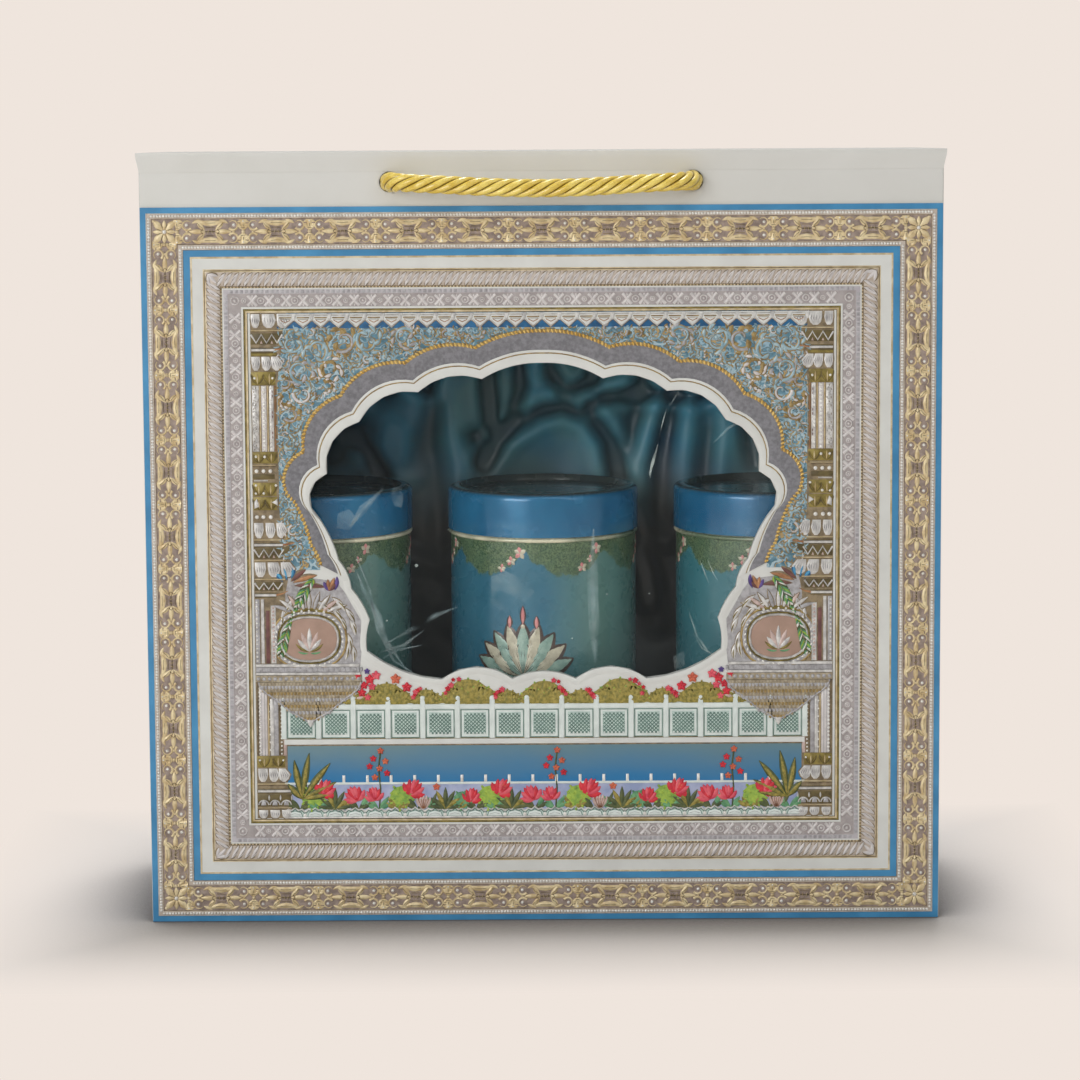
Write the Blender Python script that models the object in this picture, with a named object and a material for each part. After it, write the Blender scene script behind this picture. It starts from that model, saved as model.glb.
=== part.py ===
"""A window gift hamper: a board box with a lift-up lid, two rope handles and three lidded tins.

Lengths are in metres. The window side faces -Y, and the box stands on z = 0, with the origin at
the centre of its foot. Pieces that touch on the real box keep the small gap SEAM here.
"""

import math

import bmesh
import bpy
from mathutils import Matrix, Vector

# Boards of the box
BOARD = 0.0020
SEAM = 0.0003
BOARD_ROUND = 0.0004
WALL_HEIGHT = 0.290
CUT_OVERRUN = 0.004

# The tins: a body, a seamed base and a slip lid
TIN_NAMES = ("left", "middle", "right")
TIN_RADIUS = 0.0362
TIN_HEIGHT = 0.1600
TIN_WALL = 0.0008
TIN_SEGMENTS = 36
BASE_SEAM_HEIGHT = 0.0030
BASE_SEAM_WIDTH = 0.0009
BASE_RECESS = 0.0014
BEAD_HEIGHT = 0.0016
BEAD_WIDTH = 0.0008
LID_SKIRT_HEIGHT = 0.0168
LID_WALL = 0.0006
LID_CLEARANCE = 0.0003
LID_ROUND = 0.0026
LID_ROUND_STEPS = 3
LID_RIM_WIDTH = 0.0042
LID_RIM_SLOPE = 0.0008
LID_PANEL_DEPTH = 0.0022

# The room round the tins, which sets the width and depth of the box
TIN_GAP = 0.0141
TIN_SIDE_SPACE = 0.0226
TIN_FRONT_SPACE = 0.0069
TIN_BACK_SPACE = 0.0109

# The top flap and its paper hinge along the back
FLAP_THICKNESS = 0.0020
FLAP_OVERHANG = 0.0010
HINGE_PAPER = 0.0004
HINGE_LEAF_HEIGHT = 0.0150
HINGE_SIDE_INSET = 0.0020
HINGE_AXIS_CLEARANCE = 0.0002

# The printed front sheet, which stops below a bare header
HEADER_HEIGHT = 0.018
SHEET_THICKNESS = 0.0005
SHEET_EDGE = 0.0003
# The raised bands of its frame, each from its start to its end, in from the sheet's edge
BORDER_START = 0.0023
BORDER_END = 0.0159
BORDER_RELIEF = 0.0003
MOULDING_START = 0.0236
MOULDING_END = 0.0300
MOULDING_RELIEF = 0.0008
LATTICE_START = 0.0322
LATTICE_END = 0.0380
LATTICE_RELIEF = 0.0004
PICTURE_INSET = 0.0396
# Across a band and up from the sheet, as shares of the band's width and relief
FLAT_BAND_SHARES = ((0.0, 1.0), (1.0, 1.0))
ROUND_BAND_SHARES = ((0.0, 0.35), (0.2, 0.85), (0.5, 1.0), (0.8, 0.85), (1.0, 0.35))
# The two pilasters inside the frame
PILASTER_GAP = 0.0004
PILASTER_WIDTH = 0.0136
PILASTER_RELIEF = 0.0007

# The window through the print and the front board
WINDOW_SIDE_SPACE = 0.0232
WINDOW_SILL_SPACE = 0.0534
WINDOW_CROWN_SPACE = 0.0192
ARCH_BAND_WIDTH = 0.0140
ARCH_BAND_RELIEF = 0.0005
ARC_STEPS = 4
# Corners of the right half, crown to sill, as shares of the half width and the height, each with
# the rise of the arc that follows it as a share of its chord: above 0 swells away from the window
WINDOW_CORNER_SHARES = (
    (0.000, 1.000, 0.075),
    (0.262, 0.950, 0.14),
    (0.537, 0.910, 0.17),
    (0.792, 0.818, 0.20),
    (0.935, 0.655, 0.30),
    (0.967, 0.510, -0.04),
    (0.888, 0.380, -0.08),
    (0.835, 0.290, -0.05),
    (0.757, 0.190, 0.06),
    (0.771, 0.092, 0.08),
    (0.445, 0.000, -0.17),
    (0.138, 0.000, -0.12),
)
# The arch band narrows from the crown down: its width along each arc, as shares of its full width
ARCH_TAPER_SHARES = (1.0, 0.95, 0.92, 0.92, 0.78, 0.70)

# The clear film behind the window
FILM_THICKNESS = 0.0003
FILM_MARGIN = 0.0100

# The satin that hangs behind the tins, in folds that lean to and fro
SATIN_THICKNESS = 0.0010
SATIN_FOLD_DEPTH = 0.0070
SATIN_FOLDS = 7
SATIN_LEAN_SHARE = 0.35
SATIN_COLUMNS = 56
SATIN_ROWS = 10
SATIN_SIDE_CLEARANCE = 0.0015
SATIN_HEM_CLEARANCE = 0.0020

# The foam insert with its three wells
FOAM_HEIGHT = 0.020
WELL_CLEARANCE = 0.0006

# The rope handles through the header, front and back
ROPE_DIAMETER = 0.0075
ROPE_HOLE_CLEARANCE = 0.0006
ROPE_HOLE_HALF_SPACING = 0.0565
ROPE_HOLE_SEGMENTS = 24
ROPE_STANDOFF = 0.0125
ROPE_SAG = 0.0024
ROPE_SLACK = 0.0200
ROPE_BEVEL_RESOLUTION = 2
ROPE_STEPS_PER_SPAN = 2
# Half of the rope's route, from the knot to the middle: along the wall from the hole, as a share
# of the hole's distance from the middle, and out from the wall and down, as shares of the
# stand-off and the sag
ROPE_ROUTE_SHARES = (
    (0.000, -1.200, 0.000),
    (0.000, -0.700, 0.000),
    (0.001, -0.150, 0.000),
    (0.010, 0.220, 0.010),
    (0.052, 0.590, 0.050),
    (0.128, 0.870, 0.120),
    (0.240, 1.000, 0.250),
    (0.380, 1.020, 0.420),
    (0.540, 1.020, 0.640),
    (0.700, 1.020, 0.830),
    (0.850, 1.020, 0.950),
    (1.000, 1.020, 1.000),
)

# The knots that stop the ropes inside the box
KNOT_LENGTH = 0.0115
KNOT_BULGE = 0.0028
KNOT_SEGMENTS = 14
# Along the knot, and out from its axis, as shares of its length and its radius
KNOT_PROFILE_SHARES = ((0.00, 0.62), (0.10, 0.86), (0.28, 1.00), (0.48, 0.95), (0.68, 1.00),
                       (0.88, 0.86), (1.00, 0.60))

# Sizes worked out from those above
LID_INNER_RADIUS = TIN_RADIUS + LID_CLEARANCE
LID_OUTER_RADIUS = LID_INNER_RADIUS + LID_WALL
TIN_PITCH = LID_OUTER_RADIUS * 2 + TIN_GAP
TIN_FLOOR = BOARD + SEAM
INNER_HALF_WIDTH = TIN_PITCH + LID_OUTER_RADIUS + TIN_SIDE_SPACE
HALF_WIDTH = INNER_HALF_WIDTH + BOARD
INNER_DEPTH = TIN_FRONT_SPACE + LID_OUTER_RADIUS * 2 + TIN_BACK_SPACE
FRONT_Y = -INNER_DEPTH / 2 - BOARD
BACK_Y = -FRONT_Y
INNER_FRONT_Y = FRONT_Y + BOARD
INNER_BACK_Y = BACK_Y - BOARD
TIN_Y = INNER_FRONT_Y + TIN_FRONT_SPACE + LID_OUTER_RADIUS
SHEET_HALF_WIDTH = HALF_WIDTH - SHEET_EDGE
SHEET_BOTTOM = SHEET_EDGE
SHEET_TOP = WALL_HEIGHT - HEADER_HEIGHT
SHEET_BACK_Y = FRONT_Y - SEAM
SHEET_FACE_Y = SHEET_BACK_Y - SHEET_THICKNESS
SHEET_CORE_Y = SHEET_BACK_Y - SHEET_THICKNESS / 2
WINDOW_HALF_WIDTH = SHEET_HALF_WIDTH - PICTURE_INSET - WINDOW_SIDE_SPACE
WINDOW_SILL = SHEET_BOTTOM + PICTURE_INSET + WINDOW_SILL_SPACE
WINDOW_CROWN = SHEET_TOP - PICTURE_INSET - WINDOW_CROWN_SPACE
WINDOW_HEIGHT = WINDOW_CROWN - WINDOW_SILL
ROPE_HOLE_Z = WALL_HEIGHT - HEADER_HEIGHT / 2
ROPE_HOLE_RADIUS = ROPE_DIAMETER / 2 + ROPE_HOLE_CLEARANCE
KNOT_RADIUS = ROPE_DIAMETER / 2 + KNOT_BULGE
HINGE_Y = BACK_Y + SEAM + HINGE_PAPER + HINGE_AXIS_CLEARANCE
HINGE_Z = WALL_HEIGHT + SEAM / 2
FLAP_BOTTOM = WALL_HEIGHT + SEAM
FLAP_TOP = FLAP_BOTTOM + FLAP_THICKNESS

# Colour, roughness and metallic value of each finish
FINISHES = {
    "cream_board": ((0.64, 0.63, 0.58), 0.55, 0.0),
    "blue_board": ((0.045, 0.20, 0.42), 0.45, 0.0),
    "printed_sheet": ((0.52, 0.46, 0.34), 0.40, 0.2),
    "clear_film": ((0.85, 0.90, 0.92), 0.08, 0.0),
    "teal_satin": ((0.010, 0.050, 0.075), 0.35, 0.0),
    "foam": ((0.012, 0.030, 0.042), 0.90, 0.0),
    "tin_print": ((0.030, 0.17, 0.22), 0.25, 0.4),
    "tin_lid_blue": ((0.025, 0.15, 0.33), 0.20, 0.4),
    "tinplate": ((0.60, 0.57, 0.50), 0.30, 1.0),
    "gold_rope": ((0.72, 0.49, 0.09), 0.40, 0.0),
}


def clear_scene():
    for old in list(bpy.data.objects):
        bpy.data.objects.remove(old, do_unlink=True)


def finish(name):
    """The material of that name, made on first use."""
    found = bpy.data.materials.get(name)
    if found:
        return found
    colour, roughness, metallic = FINISHES[name]
    made = bpy.data.materials.new(name)
    made.use_nodes = True
    shader = made.node_tree.nodes["Principled BSDF"]
    shader.inputs["Base Color"].default_value = (*colour, 1.0)
    shader.inputs["Roughness"].default_value = roughness
    shader.inputs["Metallic"].default_value = metallic
    return made


def place(name, data, finish_name, origin=(0, 0, 0)):
    """An object of that mesh or curve, with its own origin at origin."""
    data.materials.append(finish(finish_name))
    piece = bpy.data.objects.new(name, data)
    piece.location = origin
    bpy.context.scene.collection.objects.link(piece)
    return piece


def solid(name, shape, finish_name, origin=(0, 0, 0)):
    """An object of a bmesh whose points are measured from origin."""
    bmesh.ops.recalc_face_normals(shape, faces=shape.faces)
    mesh = bpy.data.meshes.new(name)
    shape.to_mesh(mesh)
    shape.free()
    return place(name, mesh, finish_name, origin)


def smooth(piece):
    """Shades a round piece smooth, with its true edges sharp."""
    piece.data.shade_smooth()
    piece.data.set_sharp_from_angle(angle=math.radians(35))


def guide(piece):
    """Marks a piece that only cuts or adds to another one."""
    piece.hide_render = True
    piece.display_type = "WIRE"
    return piece


def combine(piece, other, operation):
    step = piece.modifiers.new(operation.lower(), "BOOLEAN")
    step.object = other
    step.operation = operation


def round_edges(piece, width):
    step = piece.modifiers.new("edges", "BEVEL")
    step.width = width
    step.segments = 1


def plate_shape(low, high):
    """A block between its lowest and highest corners."""
    low = Vector(low)
    high = Vector(high)
    shape = bmesh.new()
    bmesh.ops.create_cube(shape, size=1)
    bmesh.ops.scale(shape, vec=high - low, verts=shape.verts)
    bmesh.ops.translate(shape, vec=(low + high) / 2, verts=shape.verts)
    return shape


def slab_shape(outline, front_y, back_y):
    """An outline of (x, z) points carried from front_y to back_y."""
    shape = bmesh.new()
    corners = [shape.verts.new((x, front_y, z)) for x, z in outline]
    face = shape.faces.new(corners)
    grown = bmesh.ops.extrude_face_region(shape, geom=[face])
    moved = [item for item in grown["geom"] if isinstance(item, bmesh.types.BMVert)]
    bmesh.ops.translate(shape, vec=(0, back_y - front_y, 0), verts=moved)
    return shape


def turned_shape(profile, segments, closed):
    """A profile of (radius, height) points turned about Z; an open one starts and ends on it."""
    shape = bmesh.new()
    points = [shape.verts.new((radius, 0, height)) for radius, height in profile]
    pairs = list(zip(points, points[1:]))
    if closed:
        pairs.append((points[-1], points[0]))
    edges = [shape.edges.new(pair) for pair in pairs]
    bmesh.ops.spin(shape, geom=points + edges, cent=(0, 0, 0), axis=(0, 0, 1),
                   angle=math.tau, steps=segments, use_merge=True)
    bmesh.ops.remove_doubles(shape, verts=shape.verts, dist=SEAM / 10)
    return shape


def tin_x(index):
    """The tins stand in a row with the middle one at x = 0."""
    return (index - (len(TIN_NAMES) - 1) / 2) * TIN_PITCH


# The outline of the window

def window_corners():
    """Every corner, clockwise from the crown, each with the rise share of the arc after it."""
    right = [(Vector((across * WINDOW_HALF_WIDTH, WINDOW_SILL + up * WINDOW_HEIGHT)), rise)
             for across, up, rise in WINDOW_CORNER_SHARES]
    left = [(Vector((-right[i][0].x, right[i][0].y)), right[i - 1][1])
            for i in range(len(right) - 1, 0, -1)]
    return right + left


def arc_circle(start, end, rise_share):
    """Centre and radius of an arc whose radius is above 0 where it swells out of the window."""
    chord = end - start
    rise = rise_share * chord.length
    radius = ((chord.length / 2) ** 2 + rise ** 2) / (2 * rise)
    outward = Vector((-chord.y, chord.x)).normalized()
    return (start + end) / 2 + outward * (rise - radius), radius


def circles_meet(centre_a, radius_a, centre_b, radius_b, near):
    """The point nearest to near where two circles cross."""
    apart = centre_b - centre_a
    along = (radius_a ** 2 - radius_b ** 2 + apart.length_squared) / (2 * apart.length)
    aside = math.sqrt(max(radius_a ** 2 - along ** 2, 0))
    foot = centre_a + apart.normalized() * along
    normal = Vector((-apart.y, apart.x)).normalized()
    return min((foot + normal * aside, foot - normal * aside), key=lambda p: (p - near).length)


def arc_points(centre, start, end):
    """Points from start up to, but without, end, round centre the short way."""
    first = math.atan2(start.y - centre.y, start.x - centre.x)
    last = math.atan2(end.y - centre.y, end.x - centre.x)
    sweep = math.remainder(last - first, math.tau)
    radius = (start - centre).length
    angles = [first + sweep * step / ARC_STEPS for step in range(ARC_STEPS)]
    return [(centre.x + radius * math.cos(a), centre.y + radius * math.sin(a)) for a in angles]


def window_outline():
    """The cut edge of the window, all round, as (x, z) points."""
    corners = window_corners()
    points = []
    for index, (start, rise_share) in enumerate(corners):
        end = corners[(index + 1) % len(corners)][0]
        centre, _ = arc_circle(start, end, rise_share)
        points += arc_points(centre, start, end)
    return points


def arch_outline(offset):
    """The arch, offset outwards, from springing to springing over the crown."""
    corners = window_corners()
    count = len(ARCH_TAPER_SHARES)
    offsets = [offset * share for share in (ARCH_TAPER_SHARES[:1] + ARCH_TAPER_SHARES)]
    circles = []
    for index in range(-1, count):
        start, rise_share = corners[index]
        centre, radius = arc_circle(start, corners[index + 1][0], rise_share)
        circles.append((centre, radius + offsets[index + 1]))
    knots = []
    for index in range(count):
        corner = corners[index][0]
        outward = (corner - circles[index + 1][0]).normalized()
        knots.append(circles_meet(*circles[index], *circles[index + 1],
                                  corner + outward * offsets[index + 1]))
    centre, radius = circles[-1]
    away = (corners[count][0] - centre).normalized()
    knots.append(centre + away * abs(radius))
    right = []
    for index in range(count):
        right += arc_points(circles[index + 1][0], knots[index], knots[index + 1])
    right.append((knots[-1].x, knots[-1].y))
    left = [(-x, z) for x, z in reversed(right[1:])]
    return left + right


# The box

def make_boards():
    blue = "blue_board"
    bottom = solid("bottom_board", plate_shape(
        (-INNER_HALF_WIDTH + SEAM, INNER_FRONT_Y + SEAM, 0),
        (INNER_HALF_WIDTH - SEAM, INNER_BACK_Y - SEAM, BOARD)), blue)
    back = solid("back_board", plate_shape(
        (-HALF_WIDTH, INNER_BACK_Y, 0), (HALF_WIDTH, BACK_Y, WALL_HEIGHT)), blue)
    left = solid("left_board", plate_shape(
        (-HALF_WIDTH, INNER_FRONT_Y + SEAM, 0),
        (-INNER_HALF_WIDTH, INNER_BACK_Y - SEAM, WALL_HEIGHT)), blue)
    right = solid("right_board", plate_shape(
        (INNER_HALF_WIDTH, INNER_FRONT_Y + SEAM, 0),
        (HALF_WIDTH, INNER_BACK_Y - SEAM, WALL_HEIGHT)), blue)
    front = solid("front_board", plate_shape(
        (-HALF_WIDTH, FRONT_Y, 0), (HALF_WIDTH, INNER_FRONT_Y, WALL_HEIGHT)), "cream_board")
    for board in (bottom, back, left, right, front):
        round_edges(board, BOARD_ROUND)
    return front, back


def make_window_cutter():
    return guide(solid("window_cutter", slab_shape(
        window_outline(), SHEET_FACE_Y - CUT_OVERRUN, INNER_FRONT_Y + CUT_OVERRUN), "cream_board"))


def cut_rope_holes(pieces, name, outer_y, inner_y):
    """Punches the two holes of one handle through a wall and what is glued on it."""
    low = min(outer_y, inner_y) - CUT_OVERRUN
    high = max(outer_y, inner_y) + CUT_OVERRUN
    for side in (-1, 1):
        shape = bmesh.new()
        bmesh.ops.create_cone(shape, cap_ends=True, segments=ROPE_HOLE_SEGMENTS,
                              radius1=ROPE_HOLE_RADIUS, radius2=ROPE_HOLE_RADIUS,
                              depth=high - low)
        bmesh.ops.rotate(shape, matrix=Matrix.Rotation(math.pi / 2, 3, "X"), verts=shape.verts)
        cutter = solid(f"{name}_hole_cutter_{side}", shape, "cream_board",
                       (side * ROPE_HOLE_HALF_SPACING, (low + high) / 2, ROPE_HOLE_Z))
        guide(cutter)
        for piece in pieces:
            combine(piece, cutter, "DIFFERENCE")


def make_flap():
    """The lift-up top and the two leaves of its paper hinge; returns the leaf on the box."""
    origin = Vector((0, HINGE_Y, HINGE_Z))
    low = Vector((-HALF_WIDTH - FLAP_OVERHANG, FRONT_Y - FLAP_OVERHANG, FLAP_BOTTOM))
    high = Vector((HALF_WIDTH + FLAP_OVERHANG, BACK_Y, FLAP_TOP))
    flap = solid("lid_board", plate_shape(low - origin, high - origin), "cream_board", origin)
    round_edges(flap, BOARD_ROUND)
    half = HALF_WIDTH - HINGE_SIDE_INSET
    near = BACK_Y + SEAM
    far = near + HINGE_PAPER
    low = Vector((-half, near, FLAP_BOTTOM + SEAM / 2))
    high = Vector((half, far, FLAP_TOP))
    solid("hinge_tape_lid", plate_shape(low - origin, high - origin), "blue_board", origin)
    return solid("hinge_tape_back", plate_shape(
        (-half, near, WALL_HEIGHT - HINGE_LEAF_HEIGHT), (half, far, WALL_HEIGHT)), "blue_board")


# The printed front sheet

def frame_band_shape(start, end, relief, band_shares):
    """One raised band round the sheet, mitred at its corners."""
    profile = [(start, SHEET_CORE_Y)]
    profile += [(start + across * (end - start), SHEET_FACE_Y - up * relief)
                for across, up in band_shares]
    profile.append((end, SHEET_CORE_Y))
    shape = bmesh.new()
    rings = []
    for inset, y in profile:
        x = SHEET_HALF_WIDTH - inset
        low = SHEET_BOTTOM + inset
        high = SHEET_TOP - inset
        rings.append([shape.verts.new(corner)
                      for corner in ((-x, y, low), (x, y, low), (x, y, high), (-x, y, high))])
    for ring, following in zip(rings, rings[1:] + rings[:1]):
        for corner in range(len(ring)):
            after = (corner + 1) % len(ring)
            shape.faces.new((ring[corner], ring[after], following[after], following[corner]))
    return shape


def pilaster_shape(side):
    outer = SHEET_HALF_WIDTH - PICTURE_INSET - PILASTER_GAP
    ends = sorted((side * outer, side * (outer - PILASTER_WIDTH)))
    margin = PICTURE_INSET + PILASTER_GAP
    return plate_shape((ends[0], SHEET_FACE_Y - PILASTER_RELIEF, SHEET_BOTTOM + margin),
                       (ends[1], SHEET_CORE_Y, SHEET_TOP - margin))


def make_print(window_cutter):
    sheet = solid("front_print", plate_shape(
        (-SHEET_HALF_WIDTH, SHEET_FACE_Y, SHEET_BOTTOM),
        (SHEET_HALF_WIDTH, SHEET_BACK_Y, SHEET_TOP)), "printed_sheet")
    raised = {
        "border": frame_band_shape(BORDER_START, BORDER_END, BORDER_RELIEF, FLAT_BAND_SHARES),
        "moulding": frame_band_shape(MOULDING_START, MOULDING_END, MOULDING_RELIEF,
                                     ROUND_BAND_SHARES),
        "lattice": frame_band_shape(LATTICE_START, LATTICE_END, LATTICE_RELIEF,
                                    FLAT_BAND_SHARES),
        "arch": slab_shape(arch_outline(ARCH_BAND_WIDTH), SHEET_FACE_Y - ARCH_BAND_RELIEF,
                           SHEET_CORE_Y),
        "pilaster_left": pilaster_shape(-1),
        "pilaster_right": pilaster_shape(1),
    }
    for name, shape in raised.items():
        combine(sheet, guide(solid(name + "_relief", shape, "printed_sheet")), "UNION")
    combine(sheet, window_cutter, "DIFFERENCE")


def make_film():
    near = INNER_FRONT_Y + SEAM
    half = WINDOW_HALF_WIDTH + FILM_MARGIN
    solid("window_film", plate_shape(
        (-half, near, WINDOW_SILL - FILM_MARGIN),
        (half, near + FILM_THICKNESS, WINDOW_CROWN + FILM_MARGIN)), "clear_film")


# What lies in the box

def satin_face_y(across_share, up_share):
    """How far back the satin's face lies, from 0 to 1 across the cloth and up it."""
    lean = SATIN_LEAN_SHARE * math.sin(math.pi * up_share + across_share)
    fold = math.sin(math.tau * (SATIN_FOLDS * across_share + lean))
    depth = SATIN_FOLD_DEPTH * (1 + fold) / 2
    return INNER_BACK_Y - SEAM - SATIN_THICKNESS - depth


def make_satin():
    half = INNER_HALF_WIDTH - SATIN_SIDE_CLEARANCE
    bottom = TIN_FLOOR + FOAM_HEIGHT + SATIN_HEM_CLEARANCE
    height = SHEET_TOP - bottom
    shape = bmesh.new()
    layers = []
    for thickness in (0, SATIN_THICKNESS):
        layer = []
        for row in range(SATIN_ROWS + 1):
            up = row / SATIN_ROWS
            shares = [column / SATIN_COLUMNS for column in range(SATIN_COLUMNS + 1)]
            layer.append([shape.verts.new((half * (2 * across - 1),
                                           satin_face_y(across, up) + thickness,
                                           bottom + up * height)) for across in shares])
        layers.append(layer)
    for layer in layers:
        for row in range(SATIN_ROWS):
            for column in range(SATIN_COLUMNS):
                shape.faces.new((layer[row][column], layer[row][column + 1],
                                 layer[row + 1][column + 1], layer[row + 1][column]))
    face, back = layers
    rims = [(face[0], back[0]), (face[-1], back[-1]),
            ([row[0] for row in face], [row[0] for row in back]),
            ([row[-1] for row in face], [row[-1] for row in back])]
    for near, far in rims:
        for index in range(len(near) - 1):
            shape.faces.new((near[index], near[index + 1], far[index + 1], far[index]))
    smooth(solid("satin_liner", shape, "teal_satin"))


def make_foam():
    foam = solid("foam_insert", plate_shape(
        (-INNER_HALF_WIDTH + SEAM, INNER_FRONT_Y + SEAM, TIN_FLOOR),
        (INNER_HALF_WIDTH - SEAM, INNER_BACK_Y - SEAM, TIN_FLOOR + FOAM_HEIGHT)), "foam")
    radius = TIN_RADIUS + BASE_SEAM_WIDTH + WELL_CLEARANCE
    for index, name in enumerate(TIN_NAMES):
        profile = ((0, -CUT_OVERRUN), (radius, -CUT_OVERRUN),
                   (radius, FOAM_HEIGHT + CUT_OVERRUN), (0, FOAM_HEIGHT + CUT_OVERRUN))
        cutter = solid(f"well_cutter_{name}", turned_shape(profile, TIN_SEGMENTS, False), "foam",
                       (tin_x(index), TIN_Y, TIN_FLOOR))
        combine(foam, guide(cutter), "DIFFERENCE")


def tin_base_profile():
    rim = TIN_RADIUS + BASE_SEAM_WIDTH
    inside = TIN_RADIUS - TIN_WALL
    return ((0, BASE_RECESS), (inside - BASE_RECESS, BASE_RECESS), (inside, 0), (rim, 0),
            (rim, BASE_SEAM_HEIGHT), (0, BASE_SEAM_HEIGHT))


def tin_body_profile():
    inside = TIN_RADIUS - TIN_WALL
    bottom = BASE_SEAM_HEIGHT + SEAM
    top = TIN_HEIGHT - LID_PANEL_DEPTH - LID_WALL - SEAM
    bead_top = TIN_HEIGHT - LID_SKIRT_HEIGHT - SEAM
    bead_bottom = bead_top - BEAD_HEIGHT
    bead = TIN_RADIUS + BEAD_WIDTH
    ease = BEAD_WIDTH / 2
    return ((TIN_RADIUS, bottom), (TIN_RADIUS, bead_bottom), (bead, bead_bottom + ease),
            (bead, bead_top - ease), (TIN_RADIUS, bead_top), (TIN_RADIUS, top),
            (inside, top), (inside, bottom))


def tin_lid_profile():
    skirt = TIN_HEIGHT - LID_SKIRT_HEIGHT
    panel = TIN_HEIGHT - LID_PANEL_DEPTH
    turns = [math.pi / 2 * step / LID_ROUND_STEPS for step in range(LID_ROUND_STEPS + 1)]
    shoulder = [(LID_OUTER_RADIUS - LID_ROUND * (1 - math.cos(turn)),
                 TIN_HEIGHT - LID_ROUND * (1 - math.sin(turn))) for turn in turns]
    rim = LID_OUTER_RADIUS - LID_RIM_WIDTH
    return [(0, panel - LID_WALL), (LID_INNER_RADIUS, panel - LID_WALL),
            (LID_INNER_RADIUS, skirt), (LID_OUTER_RADIUS, skirt), *shoulder,
            (rim, TIN_HEIGHT), (rim - LID_RIM_SLOPE, panel), (0, panel)]


def make_tins():
    for index, name in enumerate(TIN_NAMES):
        foot = (tin_x(index), TIN_Y, TIN_FLOOR)
        smooth(solid(f"tin_base_{name}", turned_shape(tin_base_profile(), TIN_SEGMENTS, False),
                     "tinplate", foot))
        smooth(solid(f"tin_body_{name}", turned_shape(tin_body_profile(), TIN_SEGMENTS, True),
                     "tin_print", foot))
        smooth(solid(f"tin_lid_{name}", turned_shape(tin_lid_profile(), TIN_SEGMENTS, False),
                     "tin_lid_blue", foot))


# The rope handles

def rope_route():
    """Points of a whole rope, knot to knot, measured from between its holes, outwards as -Y."""
    half = [Vector(((1 - along) * ROPE_HOLE_HALF_SPACING, -out * ROPE_STANDOFF,
                    -down * ROPE_SAG)) for along, out, down in ROPE_ROUTE_SHARES]
    end = Vector((ROPE_HOLE_HALF_SPACING, BOARD + ROPE_SLACK, 0))
    right = [end] + half
    left = [Vector((-point.x, point.y, point.z)) for point in right[:-1]]
    return left + right[::-1]


def smooth_route(points):
    """A denser route through the same points, without corners."""
    dense = []
    for index in range(len(points) - 1):
        before = points[max(index - 1, 0)]
        start = points[index]
        end = points[index + 1]
        after = points[min(index + 2, len(points) - 1)]
        for step in range(ROPE_STEPS_PER_SPAN):
            t = step / ROPE_STEPS_PER_SPAN
            dense.append(start + t * (end - before) / 2
                         + t ** 2 * (before - 2.5 * start + 2 * end - after / 2)
                         + t ** 3 * (1.5 * (start - end) + (after - before) / 2))
    return dense + [points[-1]]


def make_rope(name, wall_y, outward):
    curve = bpy.data.curves.new(name, "CURVE")
    curve.dimensions = "3D"
    curve.bevel_depth = ROPE_DIAMETER / 2
    curve.bevel_resolution = ROPE_BEVEL_RESOLUTION
    curve.use_fill_caps = True
    route = smooth_route(rope_route())
    spline = curve.splines.new("POLY")
    spline.points.add(len(route) - 1)
    for point, place_on_route in zip(spline.points, route):
        point.co = (place_on_route.x, -outward * place_on_route.y, place_on_route.z, 1)
    place(f"{name}_rope", curve, "gold_rope", (0, wall_y, ROPE_HOLE_Z))


def make_knots(name, wall_y, outward):
    """A knot on each end of a rope, turned about the rope's own line."""
    start = BOARD + ROPE_SLACK + SEAM
    profile = [(0, start)]
    profile += [(out * KNOT_RADIUS, start + along * KNOT_LENGTH)
                for along, out in KNOT_PROFILE_SHARES]
    profile.append((0, start + KNOT_LENGTH))
    for side, word in ((-1, "left"), (1, "right")):
        shape = turned_shape(profile, KNOT_SEGMENTS, False)
        turn = Matrix.Rotation(outward * math.pi / 2, 3, "X")
        bmesh.ops.rotate(shape, matrix=turn, verts=shape.verts)
        smooth(solid(f"{name}_knot_{word}", shape, "gold_rope",
                     (side * ROPE_HOLE_HALF_SPACING, wall_y, ROPE_HOLE_Z)))


def make_handles(front, back, hinge_leaf):
    for name, pieces, outer_y, inner_y, outward in (
            ("front", (front,), FRONT_Y, INNER_FRONT_Y, -1),
            ("back", (back, hinge_leaf), BACK_Y, INNER_BACK_Y, 1)):
        cut_rope_holes(pieces, name, outer_y, inner_y)
        make_rope(name, outer_y, outward)
        make_knots(name, outer_y, outward)


def make_hamper():
    clear_scene()
    front, back = make_boards()
    window_cutter = make_window_cutter()
    combine(front, window_cutter, "DIFFERENCE")
    make_print(window_cutter)
    make_film()
    make_satin()
    make_foam()
    hinge_leaf = make_flap()
    make_tins()
    make_handles(front, back, hinge_leaf)


make_hamper()
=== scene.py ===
"""Looks of the window gift hamper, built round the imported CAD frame.

Lengths are in metres, and ornament is drawn in millimetres on the sheet's face, as (x, z, height
over the face). The window side faces -Y.
"""

import random
from math import (atan2, copysign, cos, dist, exp, hypot, pi, radians, remainder, sin, sqrt,
                  tau)

import bmesh
import bpy
from mathutils import Matrix, Vector
from mathutils.geometry import tessellate_polygon


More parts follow.
